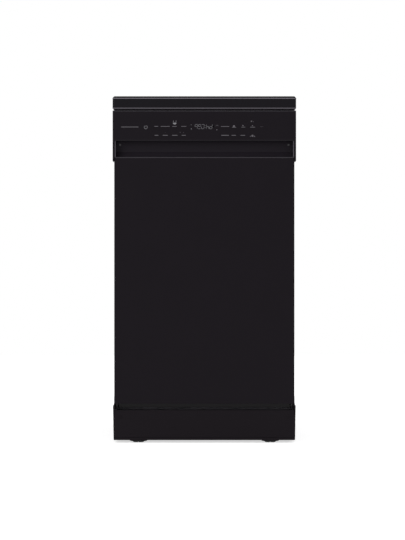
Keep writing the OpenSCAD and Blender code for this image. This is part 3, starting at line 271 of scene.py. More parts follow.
class DISHWASHER_OT_finishes(bpy.types.Operator):
    """Makes every finish that the pieces use"""

    bl_idname = "dishwasher.finishes"
    bl_label = "Finishes"

    def execute(self, context):
        colours = context.scene.dishwasher_colours
        self.outer_finishes(colours)
        self.metals(colours)
        self.wash_finishes(colours)
        galvanised_finish("galvanised_sheet", colours.zinc)
        return {"FINISHED"}

    def outer_finishes(self, c):
        """The black parts round the outside, and the marks on the control panel."""
        faint = {"Specular_IOR_Level": 0.06}
        # Coil-coated steel: an even satin coat with a faint orange peel about 2 mm across
        finish("lacquered_steel_door", c.door_black, 1.12, 70, (0.3, 0.4), 2.2, 0.004, **faint)
        finish("lacquered_steel_cabinet", c.panel_black, 1.08, 70, (0.36, 0.41), 2.2, 0.004,
               **faint)
        # Spark-eroded ABS: a fine matt grain. The real grain of 0.1 mm is drawn at 0.8 mm to show
        finish("moulded_abs_fascia", c.fascia_black, 1.1, 50, (0.36, 0.46), 0.8, 0.006, **faint)
        # The grip's paler colour is painted light against the shade inside the recess
        finish("moulded_abs_grip", c.grip_black, 1.1, 40, (0.3, 0.4), 0.8, 0.006,
               Specular_IOR_Level=0.05)
        # Arrises carry painted light, as shares of one grey: painted shade on the worktop's top
        # chamfer, and painted highlights of rising brightness on chamfers, beads and lips
        for name, share in (("shaded_arris", 0.1), ("dull_arris", 0.42), ("polished_arris", 1.0),
                            ("trimmed_arris", 1.9), ("pale_arris", 3.7)):
            finish(name, scaled(c.painted_light_edge_grey, share), 1.12, 60, (0.3, 0.38), 0.8, 0.003, **faint)
        # The splash apron behind the toe gap is smooth enough to show the room
        finish("calendered_pp", "#150f16", "#1a141b", 30, (0.14, 0.2), 1.2, 0.002,
               Specular_IOR_Level=0.14)
        # The lip that closes the toe gap is a softer grade, painted pale: painted light that lifts
        # the shade in the gap
        finish("sealing_lip", "#66636a", "#706d73", 30, (0.5, 0.6), 1.2, 0.004)
        # Melamine laminate: a pebbled press grain about 1.5 mm across
        finish("melamine_laminate", c.board_black, 1.3, 3.5, (0.42, 0.6), 1.5, 0.05,
               Specular_IOR_Level=0.25)
        # Extruded PVC edging: smoother than the board, with faint drawing along its length
        finish("pvc_edging", c.edging_black, 1.15, 60, (0.24, 0.32), 1.2, 0.004, **faint)
        # Glass-filled polypropylene: matt, with a slight flow mottling
        finish("filled_pp_base", c.base_black, 1.15, 25, (0.46, 0.58), 1.2, 0.012, **faint)
        # Tread rubber with a dusty bloom
        finish("tread_rubber", "#151516", "#1d1d1e", 8, (0.6, 0.75), 0.9, 0.03,
               Specular_IOR_Level=0.2)
        # Silk-screen ink, lit segments and the brighter lit sign
        finish("screen_ink", c.print_grey, 1.1, 5, (0.5, 0.6), 0.5, 0.001, **faint)
        finish("lit_segment", c.lit_grey, 1.1, 5, (0.4, 0.5), 0.5, 0.001, **faint)
        finish("lit_sign", scaled(c.lit_grey, 1.5), 1.7 / 1.5, 5, (0.4, 0.5), 0.5, 0.001, **faint)

    def metals(self, c):
        """Bare and plated metals."""
        # Cold-rolled stainless sheet: rolling lines along one direction
        for name, way in (("stainless_tub", (0.03, 0.03, 1)), ("stainless_liner", (0.03, 1, 1)),
                          ("stainless_rail", (1, 0.03, 1))):
            finish(name, c.steel, 1.06, 9, (0.25, 0.3), 0.8, 0.0006, way, Metallic=1.0)
        # Acid-etched filter steel is a little duller than sheet, and drawn spring wire is darker
        finish("etched_steel", "#a9abad", "#c0c2c3", 6, (0.3, 0.42), 0.8, 0.004, Metallic=1.0)
        finish("spring_steel", "#8d8f92", "#a6a8aa", 5, (0.28, 0.4), 0.7, 0.006, Metallic=1.0)
        # Bright zinc on small screws, and black oxide on those that face the user
        finish("zinc_screw", "#b4b6b4", "#c9cac6", 3, (0.24, 0.36), 0.6, 0.004, Metallic=1.0)
        finish("black_screw", "#3a383b", "#4a484b", 3, (0.3, 0.42), 0.6, 0.004,
               Specular_IOR_Level=0.5)
        # Black passivated zinc on the hinge steel
        finish("black_zinc", "#242126", "#302d32", 5, (0.3, 0.42), 0.8, 0.006,
               Specular_IOR_Level=0.2)
        # Stacked sheets of the motors, with lines across the stack
        finish("motor_lamination", "#6d7073", "#85888b", 5, (0.35, 0.5), 0.8, 0.02, (1, 1, 0.2),
               Metallic=1.0)

    def wash_finishes(self, c):
        """Plastics, rubber, felt and rope inside the machine."""
        # EPDM seal: extruded, satin, softly bloomed
        finish("epdm_seal", "#2a2a2c", "#343437", 14, (0.45, 0.6), 1.0, 0.01)
        # Bitumen-backed felt: matted fibres a few millimetres long
        finish("bitumen_felt", "#3a3633", "#5c5651", 3.0, (0.85, 0.98), 1.1, 0.35, (1, 0.35, 1),
               Sheen_Weight=0.3)
        # Braided polyamide rope of the balance springs
        finish("braided_rope", "#b8b39c", "#9d9883", 1.6, (0.7, 0.85), 0.8, 0.12)
        # Epoxy board under a green solder mask, with black packages
        finish("solder_mask", "#1d4a2e", "#27603b", 4, (0.25, 0.35), 1.4, 0.02)
        finish("component_black", "#1a1a1c", "#262628", 3, (0.4, 0.55), 0.5, 0.01)
        # Acetal, natural polypropylene and the grey grades of the wash parts: smooth from the
        # mould, with a slow drift in gloss
        for name, base, tone, patch, rough, grain, relief in (
                ("acetal_white", "#dededa", "#e9e9e6", 20, (0.3, 0.42), 0.9, 0.008),
                ("natural_pp", "#cfcfc8", "#dfdfd9", 30, (0.35, 0.5), 1.2, 0.012),
                ("pale_grey_pp", "#bfc2c4", "#cccfd1", 25, (0.32, 0.45), 0.9, 0.01),
                ("clear_blue_pp", "#8fa6ba", "#9db3c6", 18, (0.2, 0.3), 0.9, 0.006),
                ("dark_grey_pp", "#323437", "#3d3f43", 22, (0.36, 0.5), 0.9, 0.012),
                ("mid_grey_pp", "#55585b", "#606367", 22, (0.36, 0.5), 0.9, 0.012),
                ("spray_arm_pp", "#8b8f93", "#979b9f", 22, (0.32, 0.45), 0.9, 0.01)):
            finish(name, base, tone, patch, rough, grain, relief)
        # Nylon powder fused on wire: rounded, slightly pebbled, softly glossy
        finish("nylon_coated_wire", c.wire_grey, 1.15, 6, (0.3, 0.42), 1.2, 0.03)


def galvanised_finish(name, zinc):
    """Hot-dip zinc: crystal spangles about 7 mm across, each with its own shade and gloss."""
    tree = finish(name, zinc, 1.2, 30, (0.3, 0.5), 1.2, 0.006, Metallic=1.0).node_tree
    place = tree.nodes["Texture Coordinate"].outputs["Object"]
    shade = tree.nodes["Principled BSDF"]
    spangle = add_node(tree, "ShaderNodeTexVoronoi", {"Vector": place, "Scale": 1 / (7 * MM)})
    grey = add_node(tree, "ShaderNodeSeparateColor", {"Color": spangle.outputs["Color"]})
    tint = add_node(tree, "ShaderNodeMix",
                    {"Factor": grey.outputs[0], 6: zinc, 7: scaled(zinc, 1.16)}, data_type="RGBA")
    gloss = add_node(tree, "ShaderNodeMapRange",
                     {"Value": grey.outputs[1], "To Min": 0.34, "To Max": 0.46})
    tree.links.new(tint.outputs[2], shade.inputs["Base Color"])
    tree.links.new(gloss.outputs[0], shade.inputs["Roughness"])


# ---------- shapes; every point is in millimetres ----------

def on_axis(axis, u, v, along):
    """A point from its two outline values and its value along the axis."""
    return {"X": (along, u, v), "Y": (u, along, v), "Z": (u, v, along)}[axis]


def arc(centre, r, start, end, steps=6):
    """Points on an arc, with its angles in degrees."""
    return [(centre[0] + r * math.cos(math.radians(a)), centre[1] + r * math.sin(math.radians(a)))
            for a in spread(start, end, steps + 1)]


def rounded_rect(low, high, radii, steps=6, runs=((), (), (), ())):
    """Rounded outline from its lower left corner round to the right. Radii go lower left,
    lower right, upper right, upper left, and runs adds points along the four sides, as shares."""
    a, b, c, d = radii = (radii,) * 4 if isinstance(radii, (int, float)) else radii
    (x0, y0), (x1, y1) = low, high
    middles = ((x0 + a, y0 + a), (x1 - b, y0 + b), (x1 - c, y1 - c), (x0 + d, y1 - d))
    bends = [arc(middle, r, 180 + 90 * i, 270 + 90 * i, steps)
             for i, (middle, r) in enumerate(zip(middles, radii))]
    points = []
    for bend, after, shares in zip(bends, bends[1:] + bends[:1], runs):
        (u0, v0), (u1, v1) = bend[-1], after[0]
        points += bend + [(u0 + (u1 - u0) * t, v0 + (v1 - v0) * t) for t in shares]
    return points


def shrunk_rect(low, high, inset, radius):
    """The rounded outline of a box seen from above, drawn in by an inset."""
    return rounded_rect((low.x + inset, low.y + inset), (high.x - inset, high.y - inset), radius)


def loft(rings, closed=False):
    """A skin over rings of equal length; closed joins the last ring to the first, and else both
    ends are capped."""
    bm = bmesh.new()
    rows = [[bm.verts.new(Vector(p) * MM) for p in ring] for ring in rings]
    for a, b in zip(rows, rows[1:] + (rows[:1] if closed else [])):
        for i in range(len(a)):
            j = (i + 1) % len(a)
            bm.faces.new((a[i], a[j], b[j], b[i]))
    if not closed:
        bm.faces.new(rows[0][::-1])
        bm.faces.new(rows[-1])
    bmesh.ops.remove_doubles(bm, verts=bm.verts, dist=1e-7)
    bmesh.ops.dissolve_degenerate(bm, edges=bm.edges, dist=1e-8)
    bmesh.ops.recalc_face_normals(bm, faces=bm.faces)
    return bm


def prism(outline, axis, low, high):
    """An outline pushed along an axis."""
    return loft([[on_axis(axis, u, v, low) for u, v in outline],
                 [on_axis(axis, u, v, high) for u, v in outline]])


def slab(low, high):
    """A plain block, to be bevelled or joined to others."""
    return prism([(low[0], low[1]), (high[0], low[1]), (high[0], high[1]), (low[0], high[1])],
                 "Z", low[2], high[2])


def lathe(profile, centre=(0, 0, 0), axis="Z", steps=40, closed=False):
    """A profile of (radius, height) turned about an axis through the centre; a closed profile
    makes a ring."""
    first, second = {"X": (1, 2), "Y": (0, 2), "Z": (0, 1)}[axis]
    return loft([[on_axis(axis, u, v, height)
                  for u, v in circle(centre[first], centre[second], radius, steps)]
                 for radius, height in profile], closed)


def ball(radius, rings=6, steps=10):
    """A ball about the origin."""
    return lathe([(radius * math.sin(a), -radius * math.cos(a))
                  for a in spread(0.0, math.pi, rings + 1)], steps=steps)


def frame_copy(node):
    """The mesh of a frame node, its loose triangles merged into whole faces."""
    bm = bmesh.new()
    bm.from_mesh(frame["nodes"][node].data)
    bmesh.ops.remove_doubles(bm, verts=bm.verts, dist=1e-6)
    bmesh.ops.dissolve_limit(bm, angle_limit=math.radians(1), verts=bm.verts, edges=bm.edges)
    return bm


def soften(bm, width, segments=2, chosen=None, angle=25):
    """Rounds the edges sharper than the angle, or of those only the ones that are chosen."""
    edges = [e for e in bm.edges if e.is_manifold and e.calc_face_angle(0) > math.radians(angle)
             and (chosen is None or chosen(e))]
    bmesh.ops.bevel(bm, geom=edges, offset=width * MM, segments=segments, profile=0.5,
                    affect="EDGES", clamp_overlap=True)
    return bm


def loose_parts(bm):
    """The separate solids of a mesh, each as its own mesh with its two corners."""
    left, parts = set(bm.verts), []
    while left:
        stack, group = [next(iter(left))], set()
        while stack:
            vert = stack.pop()
            if vert in group:
                continue
            group.add(vert)
            stack.extend(e.other_vert(vert) for e in vert.link_edges)
        left -= group
        part = bmesh.new()
        twins = {v: part.verts.new(v.co) for v in sorted(group, key=lambda v: v.index)}
        for face in bm.faces:
            if face.verts[0] in group:
                part.faces.new([twins[v] for v in face.verts])
        parts.append((part, *corners_of(part)))
    return sorted(parts, key=lambda p: tuple(round(c, 5) for c in p[1]))


def corners_of(bm):
    """Lowest and highest corner of a mesh in millimetres."""
    points = [v.co for v in bm.verts]
    return (Vector([min(p[i] for p in points) for i in range(3)]) / MM,
            Vector([max(p[i] for p in points) for i in range(3)]) / MM)


# ---------- finished pieces ----------

def as_mesh(bm, name="part"):
    """A bmesh as a mesh."""
    mesh = bpy.data.meshes.new(name)
    bm.to_mesh(mesh)
    bm.free()
    return mesh


def points_mesh(points):
    """A mesh of loose points."""
    mesh = bpy.data.meshes.new("points")
    mesh.from_pydata([Vector(p) * MM for p in points], [], [])
    return mesh


def paths_mesh(paths):
    """A mesh of edges along paths; a path that ends where it starts is a closed loop."""
    points, edges = [], []
    for path in paths:
        first = len(points)
        loop = path[0] == path[-1]
        kept = path[:-1] if loop else path
        points += [Vector(p) * MM for p in kept]
        edges += [(first + i, first + i + 1) for i in range(len(kept) - 1)]
        if loop:
            edges.append((len(points) - 1, first))
    mesh = bpy.data.meshes.new("paths")
    mesh.from_pydata(points, edges, [])
    return mesh


def assemble(name, parts, node, body=None):
    """Joins (shape, finish) parts into one piece that stands for a frame node and rides on its
    body, or on the body given."""
    whole, finishes = bmesh.new(), []
    for shape, surface in parts:
        if surface not in finishes:
            finishes.append(surface)
        before = len(whole.faces)
        whole.from_mesh(shape if isinstance(shape, bpy.types.Mesh) else as_mesh(shape))
        whole.faces.ensure_lookup_table()
        for face in whole.faces[before:]:
            face.material_index = finishes.index(surface)
            face.smooth = True
    mesh = as_mesh(whole, name)
    for surface in finishes:
        mesh.materials.append(look(surface))
    mesh.set_sharp_from_angle(angle=SHARP_ANGLE)
    piece = placed(name, mesh)
    piece.modifiers.new("weigh", "WEIGHTED_NORMAL").keep_sharp = True
    plain(piece)
    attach(piece, body or body_of(node))
    if node:
        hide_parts(node)
    return piece


def refit(node, name, surface, slot, width=0.5, segments=2, extra=(), chosen=None):
    """A frame node with softened edges, plus any extra parts, as one finished piece."""
    shape = soften(frame_copy(node), width, segments, chosen)
    return assemble(name, [(shape, surface), *extra], node)


def repaint(piece, surface, chosen):
    """Gives another finish to the faces that are chosen by their middle in mm and their normal."""
    mesh = piece.data
    mesh.materials.append(look(surface))
    for face in mesh.polygons:
        if chosen(face.center / MM, face.normal):
            face.material_index = len(mesh.materials) - 1


def plain(piece):
    """Turns a piece with modifiers into its plain mesh."""
    seen = piece.evaluated_get(bpy.context.evaluated_depsgraph_get())
    mesh = bpy.data.meshes.new_from_object(seen)
    piece.modifiers.clear()
    mesh.name = piece.name
    piece.data = mesh
    return mesh


# ---------- Geometry Nodes trees ----------

def new_tree(name, sockets):
    """A tree with a geometry input and output and the named inputs; returns it and its inputs."""
    tree = bpy.data.node_groups.new(name, "GeometryNodeTree")
    tree.is_modifier = True
    tree.interface.new_socket("Geometry", in_out="INPUT", socket_type="NodeSocketGeometry")
    tree.interface.new_socket("Geometry", in_out="OUTPUT", socket_type="NodeSocketGeometry")
    for label, kind in sockets.items():
        tree.interface.new_socket(label, in_out="INPUT", socket_type="NodeSocket" + kind)
    return tree, add_node(tree, "NodeGroupInput").outputs


def end_tree(tree, geometry, surface):
    """Every tree ends by making its copies real and setting the finish."""
    real = add_node(tree, "GeometryNodeRealizeInstances", {"Geometry": geometry})
    done = add_node(tree, "GeometryNodeSetMaterial",
                    {"Geometry": real.outputs[0], "Material": surface})
    add_node(tree, "NodeGroupOutput", {"Geometry": done.outputs[0]})
    return tree


def bent_path(tree, given, count):
    """The curve along the given paths, its corners rounded with a number of points."""
    path = add_node(tree, "GeometryNodeMeshToCurve", {"Mesh": given["Geometry"]})
    return add_node(tree, "GeometryNodeFilletCurve", {
        "Curve": path.outputs[0], "Count": count, "Radius": given["Bend radius"],
        "Limit Radius": True}, mode="POLY").outputs[0]


def wire_tree():
    """Round wire bent along paths."""
    tree, given = new_tree("bent_wire", {"Wire radius": "Float", "Bend radius": "Float",
                                         "Sides": "Int", "Finish": "Material"})
    ring = add_node(tree, "GeometryNodeCurvePrimitiveCircle",
                    {"Resolution": given["Sides"], "Radius": given["Wire radius"]})
    skin = add_node(tree, "GeometryNodeCurveToMesh", {
        "Curve": bent_path(tree, given, 5), "Profile Curve": ring.outputs[0], "Fill Caps": True})
    return end_tree(tree, skin.outputs[0], given["Finish"])


def hose_tree():
    """Ringed hose along paths: a cosine along the length narrows it between the rings."""
    tree, given = new_tree("ringed_hose", {"Hose radius": "Float", "Bend radius": "Float",
                                           "Ring pitch": "Float", "Ring depth": "Float",
                                           "Finish": "Material"})
    step = add_node(tree, "ShaderNodeMath", {0: given["Ring pitch"], 1: 0.25}, operation="MULTIPLY")
    even = add_node(tree, "GeometryNodeResampleCurve",
                    {"Curve": bent_path(tree, given, 8), "Length": step.outputs[0]}, mode="LENGTH")
    along = add_node(tree, "GeometryNodeSplineParameter").outputs["Length"]
    count = add_node(tree, "ShaderNodeMath", {0: along, 1: given["Ring pitch"]}, operation="DIVIDE")
    angle = add_node(tree, "ShaderNodeMath", {0: count.outputs[0], 1: 2 * math.pi},
                     operation="MULTIPLY")
    wave = add_node(tree, "ShaderNodeMath", {0: angle.outputs[0]}, operation="COSINE")
    sunk = add_node(tree, "ShaderNodeMath", {0: wave.outputs[0], 1: -0.5, 2: 0.5},
                    operation="MULTIPLY_ADD")
    depth = add_node(tree, "ShaderNodeMath", {0: sunk.outputs[0], 1: given["Ring depth"]},
                     operation="MULTIPLY")
    scale = add_node(tree, "ShaderNodeMath", {0: 1.0, 1: depth.outputs[0]}, operation="SUBTRACT")
    ring = add_node(tree, "GeometryNodeCurvePrimitiveCircle",
                    {"Resolution": 18, "Radius": given["Hose radius"]})
    skin = add_node(tree, "GeometryNodeCurveToMesh", {
        "Curve": even.outputs[0], "Profile Curve": ring.outputs[0], "Scale": scale.outputs[0],
        "Fill Caps": True})
    return end_tree(tree, skin.outputs[0], given["Finish"])


def helix_tree():
    """A coil of round wire, standing on a point along Z."""
    tree, given = new_tree("helix", {
        "Turns": "Float", "Coil radius": "Float", "Coil length": "Float", "Wire radius": "Float",
        "Wire sides": "Int", "Foot": "Vector", "Finish": "Material"})
    spiral = add_node(tree, "GeometryNodeCurveSpiral", {
        "Resolution": 18, "Rotations": given["Turns"], "Start Radius": given["Coil radius"],
        "End Radius": given["Coil radius"], "Height": given["Coil length"]})
    ring = add_node(tree, "GeometryNodeCurvePrimitiveCircle",
                    {"Resolution": given["Wire sides"], "Radius": given["Wire radius"]})
    skin = add_node(tree, "GeometryNodeCurveToMesh", {
        "Curve": spiral.outputs[0], "Profile Curve": ring.outputs[0], "Fill Caps": True})
    moved = add_node(tree, "GeometryNodeTransform",
                     {"Geometry": skin.outputs[0], "Translation": given["Foot"]})
    return end_tree(tree, moved.outputs[0], given["Finish"])


def copies_tree():
    """Copies of one piece on points, all turned alike."""
    tree, given = new_tree("copies", {"Piece": "Object", "Turn": "Vector", "Finish": "Material"})
    piece = add_node(tree, "GeometryNodeObjectInfo", {"Object": given["Piece"]})
    copied = add_node(tree, "GeometryNodeInstanceOnPoints", {
        "Points": given["Geometry"], "Instance": piece.outputs["Geometry"],
        "Rotation": given["Turn"]})
    return end_tree(tree, copied.outputs[0], given["Finish"])


def run_tree(tree, mesh, surface, **values):
    """Runs a tree on a mesh; returns the result as a plain mesh, with its finish."""
    carrier = placed("carrier", mesh)
    modifier = carrier.modifiers.new("build", "NODES")
    modifier.node_group = bpy.data.node_groups[tree]
    sockets = {s.name: s.identifier for s in modifier.node_group.interface.items_tree
               if s.item_type == "SOCKET" and s.in_out == "INPUT"}
    for label, value in {**values, "Finish": look(surface)}.items():
        modifier[sockets[label.replace("_", " ")]] = value
    result = plain(carrier)
    bpy.data.objects.remove(carrier)
    return result, surface


def wires(paths, radius, surface="nylon_coated_wire", bend=None):
    """Bent wires along paths; the radius is in metres, as the properties hold it."""
    sizes = bpy.context.scene.dishwasher_sizes
    return run_tree("bent_wire", paths_mesh(paths), surface, Wire_radius=radius,
                    Bend_radius=sizes.wire_bend if bend is None else bend * MM,
                    Sides=sizes.wire_sides)


def hose(path, radius, bend, surface="epdm_seal", depth=0.07):
    """A ringed hose along a path, its radius and bend in millimetres, and the depth of its rings
    as a share of the radius."""
    pitch = bpy.context.scene.dishwasher_sizes.hose_ring
    return run_tree("ringed_hose", paths_mesh([path]), surface, Hose_radius=radius * MM,
                    Bend_radius=bend * MM, Ring_pitch=pitch, Ring_depth=depth)


def coil(count, radius, height, wire, foot, surface, sides=8):
    """A coil of so many turns standing on a point, its sizes in millimetres."""
    return run_tree("helix", paths_mesh([((0, 0, 0), (0, 0, 1))]), surface, Turns=float(count),
                    Coil_radius=radius * MM, Coil_length=height * MM, Wire_radius=wire * MM,
                    Wire_sides=sides, Foot=Vector(foot) * MM)


def copies(part, places, surface, turn=(0.0, 0.0, 0.0)):
    """Copies of a part, drawn about the origin, on places in millimetres."""
    master = placed("master", as_mesh(part))
    result = run_tree("copies", points_mesh(places), surface, Piece=master, Turn=turn)
    bpy.data.objects.remove(master)
    return result


# ---------- stage ----------

def soft_box(name, place, aim, size, radiance):
    """A rectangular lamp of a given radiance, turned towards a point; places in metres."""
    lamp = bpy.data.lights.new(name, "AREA")
    lamp.shape = "RECTANGLE"
    lamp.size, lamp.size_y = size
    lamp.energy = radiance * math.pi * size[0] * size[1]
    holder = placed(name, lamp)
    holder.location = place
    holder.rotation_euler = (Vector(aim) - Vector(place)).to_track_quat("-Z", "Y").to_euler()


class DISHWASHER_OT_stage(bpy.types.Operator):
    """Makes the camera, the pale floor, the room light and the soft boxes"""

    bl_idname = "dishwasher.stage"
    bl_label = "Stage"

    SENSOR, FLOOR_REACH = 36.0, 4300
    FLOOR_LIFT = 0.64  # light that the floor adds where it is looked at, as a share of white

    def execute(self, context):
        studio, scene = context.scene.dishwasher_studio, context.scene
        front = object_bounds()[0].y
        data = bpy.data.cameras.new("camera")
        data.sensor_width = self.SENSOR
        data.lens = self.SENSOR * studio.camera_distance / studio.picture_height
        data.clip_end = 60.0
        camera = placed("camera", data)
        camera.location = (studio.camera_side, front - studio.camera_distance, studio.camera_height)
        camera.rotation_euler = (math.pi / 2, 0.0, 0.0)
        scene.camera = camera
        scene.view_settings.view_transform = "Standard"
        soft_box("overhead", (0.0, front - 0.2, 2.7), (0.0, front + 0.1, 0.0), (1.1, 0.55),
                 studio.top_light)
        soft_box("front_left", (-2.2, -3.4, 2.1), (0.0, 0.0, 0.4), (1.8, 2.2), studio.front_light)
        soft_box("back_right", (2.4, 3.0, 2.4), (0.0, 0.0, 0.5), (1.8, 1.8), studio.front_light)
        self.light_the_room(scene, studio.room_light)
        self.lay_the_floor()
        return {"FINISHED"}

    def seen_directly(self, tree):
        """1 on rays that show the background itself, else 0."""
        path = add_node(tree, "ShaderNodeLightPath").outputs
        two = add_node(tree, "ShaderNodeMath", {0: path["Is Camera Ray"], 1: path["Is Glossy Ray"]})
        return add_node(tree, "ShaderNodeMath", {0: two.outputs[0], 1: path["Is Transmission Ray"]},
                        use_clamp=True).outputs[0]

    def light_the_room(self, scene, level):
        """Even light from all sides, and white where the background itself is seen."""
        scene.world = scene.world or bpy.data.worlds.new("room")
        scene.world.use_nodes = True
        tree = scene.world.node_tree
        tree.nodes.clear()
        strength = add_node(tree, "ShaderNodeMapRange",
                            {"Value": self.seen_directly(tree), "To Min": level, "To Max": 1.0})
        room = add_node(tree, "ShaderNodeBackground",
                        {"Color": (1, 1, 1, 1), "Strength": strength.outputs[0]})
        add_node(tree, "ShaderNodeOutputWorld", {"Surface": room.outputs[0]})

    def lay_the_floor(self):
        """Painted studio floor: matt, and lifted to white where it is looked at."""
        material = new_material("studio_floor_paint")
        tree = material.node_tree
        paint = add_node(tree, "ShaderNodeBsdfDiffuse", {"Color": srgb("#e6e6e6")})
        strength = add_node(tree, "ShaderNodeMath",
                            {0: self.seen_directly(tree), 1: self.FLOOR_LIFT}, operation="MULTIPLY")
        lift = add_node(tree, "ShaderNodeEmission",
                        {"Color": (1, 1, 1, 1), "Strength": strength.outputs[0]})
        both = add_node(tree, "ShaderNodeAddShader", {0: paint.outputs[0], 1: lift.outputs[0]})
        add_node(tree, "ShaderNodeOutputMaterial", {"Surface": both.outputs[0]})
        r = self.FLOOR_REACH * MM
        mesh = bpy.data.meshes.new("studio_floor")
        mesh.from_pydata([(-r, -r, 0), (r, -r, 0), (r, r, 0), (-r, r, 0)], [], [(0, 1, 2, 3)])
        mesh.materials.append(material)
        placed("studio_floor", mesh)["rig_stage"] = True


# ---------- cabinet ----------

class DISHWASHER_OT_worktop(bpy.types.Operator):
    """Builds the worktop: a laminate board in a moulded edging frame"""

    bl_idname = "dishwasher.worktop"
    bl_label = "Worktop"

    def execute(self, context):
        refit("worktop_board", "worktop_panel", "melamine_laminate", "worktop_laminate", 0.6, 3)
        low, high = span("worktop_trim")
        z0, z1 = low.z, high.z
        # Section of the edging, as inset and height: chamfers with a small bead along each
        section = [(24, z0 + 0.6), (23.4, z0), (4.6, z0), (3.7, z0 + 0.3), (2.3, z0 + 1.8),
                   (0.6, z0 + 3.5), (0.1, z0 + 4.2), (0, z0 + 4.9), (0.35, z0 + 5.4),
                   (0.35, z1 - 6.7), (0, z1 - 6.2), (0, z1 - 4.6), (0.4, z1 - 3.8),
                   (3.4, z1 - 0.8), (4.6, z1), (15.4, z1), (16, z1 - 0.6), (16, z1 - 27),
                   (24, z1 - 27)]
        rings = [[(x, y, z) for x, y in shrunk_rect(low, high, i, max(6 - i * 0.8, 0.6))]
                 for i, z in section]
        edging = assemble("worktop_edging_frame", [(loft(rings, closed=True), "pvc_edging")],
                          "worktop_trim")
        # Painted highlights on the upper bead and the lower chamfer, and painted shade on the top
        # chamfer
        repaint(edging, "pale_arris", lambda p, n: z1 - 6.3 < p.z < z1 - 4.4 and abs(n.z) < 0.8)
        repaint(edging, "shaded_arris", lambda p, n: p.z > z1 - 4.3 and 0.2 < n.z < 0.95)
        repaint(edging, "trimmed_arris", lambda p, n: z0 + 1.8 < p.z < z0 + 4.9 and abs(n.z) < 0.8)
        return {"FINISHED"}


class DISHWASHER_OT_cabinet(bpy.types.Operator):
    """Builds the side panels, the ribbed rear panel with its louvres, and the cross rails"""

    bl_idname = "dishwasher.cabinet"
    bl_label = "Cabinet panels"

    def execute(self, context):
        for side, corner in (("left", 0), ("right", 1)):
            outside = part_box("side_panel_" + side)[corner].x
            refit("side_panel_" + side, "side_skin_" + side, "lacquered_steel_cabinet",
                  "black_steel", 0.6, 3,
                  chosen=lambda e: all(abs(v.co.x - outside) < 1e-5 for v in e.verts)
                  and abs(e.verts[0].co.z - e.verts[1].co.z) > 0.1)
        zinc = ("galvanised_sheet", "galvanised_steel")
        refit("rear_panel", "rear_skin", *zinc, 0.3,
              extra=[self.louvres(), (self.hose_hook(), "filled_pp_base")])
        refit("cross_rails", "cross_members", *zinc, 0.35)
        refit("striker", "striker_tongue", *zinc, 0.3)
        return {"FINISHED"}

    def louvres(self):
        """Pressed vents in two columns between the ribs, each a hood open at its foot."""
        low, high = span("rear_panel")
        skin = high.y - 4
        across = ((-26, 0), (-24, 0.7), (-20, 1), (20, 1), (24, 0.7), (26, 0))
        hood = loft([[(x, skin - 0.4 + out * lift, z) for x, out in across] for z, lift in
                     ((6, 0.05), (4.5, 1.8), (0, 3.2), (-4, 3.4), (-4.6, 2.6), (-4.7, 0.05))])
        return copies(hood, [(x, 0, low.z + 130 + 16 * i) for x in (-56, 56) for i in range(9)],
                      "galvanised_sheet")

    def hose_hook(self):
        """The clip that keeps the drain hose high on the rear panel."""
        y = span("rear_panel")[1].y - 4.3
        outline = [(0, 0), (3.4, 0), (3.4, 30)] + arc((3.4 - 1.2, 34), 1.2, 0, 180, 4) + [(0, 34)]
        return soften(prism([(y + u, 640 + v) for u, v in outline], "X", -166, -150), 0.4)


class DISHWASHER_OT_base(bpy.types.Operator):
    """Builds the moulded base, the plinth and the feet with their threads"""

    bl_idname = "dishwasher.base"
    bl_label = "Base"

    # Feet: top of the pad, radii of the plain stem and its core, and ridge and pitch of the thread
    PAD_TOP, STEM, CORE, RIDGE, PITCH = 6.3, 5.0, 4.3, 0.7, 1.75
    BOWL = 0.62  # share of its height that the bowl under a front pad keeps

    def execute(self, context):
        black = ("filled_pp_base", "base_plastic")
        refit("base_tray", "base_floor_pan", *black, 0.4)
        refit("base_frame", "base_walls", *black, 0.45, 3)
        toe = refit("plinth", "toe_plinth", *black, 0.7, 3, extra=self.apron())
        # Faces behind the toe gap, low on the plinth and the apron, are painted pale as painted
        # light in the gap's shade
        repaint(toe, "sealing_lip", lambda p, n: p.y > -275.9 and 70.0 < p.z < 83.5)
        for node, end in (("foot_front_left", "left"), ("foot_front_right", "right"),
                          ("rear_foot", "rear")):
            self.foot(node, "screw_foot_" + end)
        return {"FINISHED"}

    def apron(self):
        """A splash apron behind the toe gap, slotted for the hinge levers. Its turned lip passes
        under the sweep of the door's foot."""
        back = [(-247.6, 122), (-247.6, 83.6), (-250.5, 80.4), (-258, 78.4), (-268, 77.2),
                (-275.8, 76.6)]
        sheet = back + [(y + 0.9, z - 1.2) for y, z in back[:0:-1]] + [(-246.4, 122)]
        return [(soften(prism(sheet, "X", left, right), 0.2), "calendered_pp")
                for left, right in ((-218.2, -215.7), (-211.4, 211.4), (215.7, 218.2))]

    def foot(self, node, name):
        """A pad on a stem: the stem is turned down to its core and gets a rolled thread. The
        bowl under a front pad is partly filled."""
        low, high = span(node)
        middle = (low + high) / 2
        shape = frame_copy(node)
        for vert in shape.verts:
            if vert.co.z / MM > self.PAD_TOP + 0.1:
                for i in (0, 1):
                    off = vert.co[i] / MM - middle[i]
                    vert.co[i] = (middle[i] + off * self.CORE / self.STEM) * MM
            elif node != "rear_foot" and 2.0 < vert.co.z / MM < self.PAD_TOP - 0.3:
                vert.co.z *= self.BOWL
        soften(shape, 0.35)
        height = high.z - self.PAD_TOP - 2.5
        thread = coil(height / self.PITCH, self.STEM - self.RIDGE, height, self.RIDGE,
                      (middle.x, middle.y, self.PAD_TOP + 1.5), "tread_rubber", sides=4)
        assemble(name, [(shape, "tread_rubber"), thread], node)


# ---------- door ----------

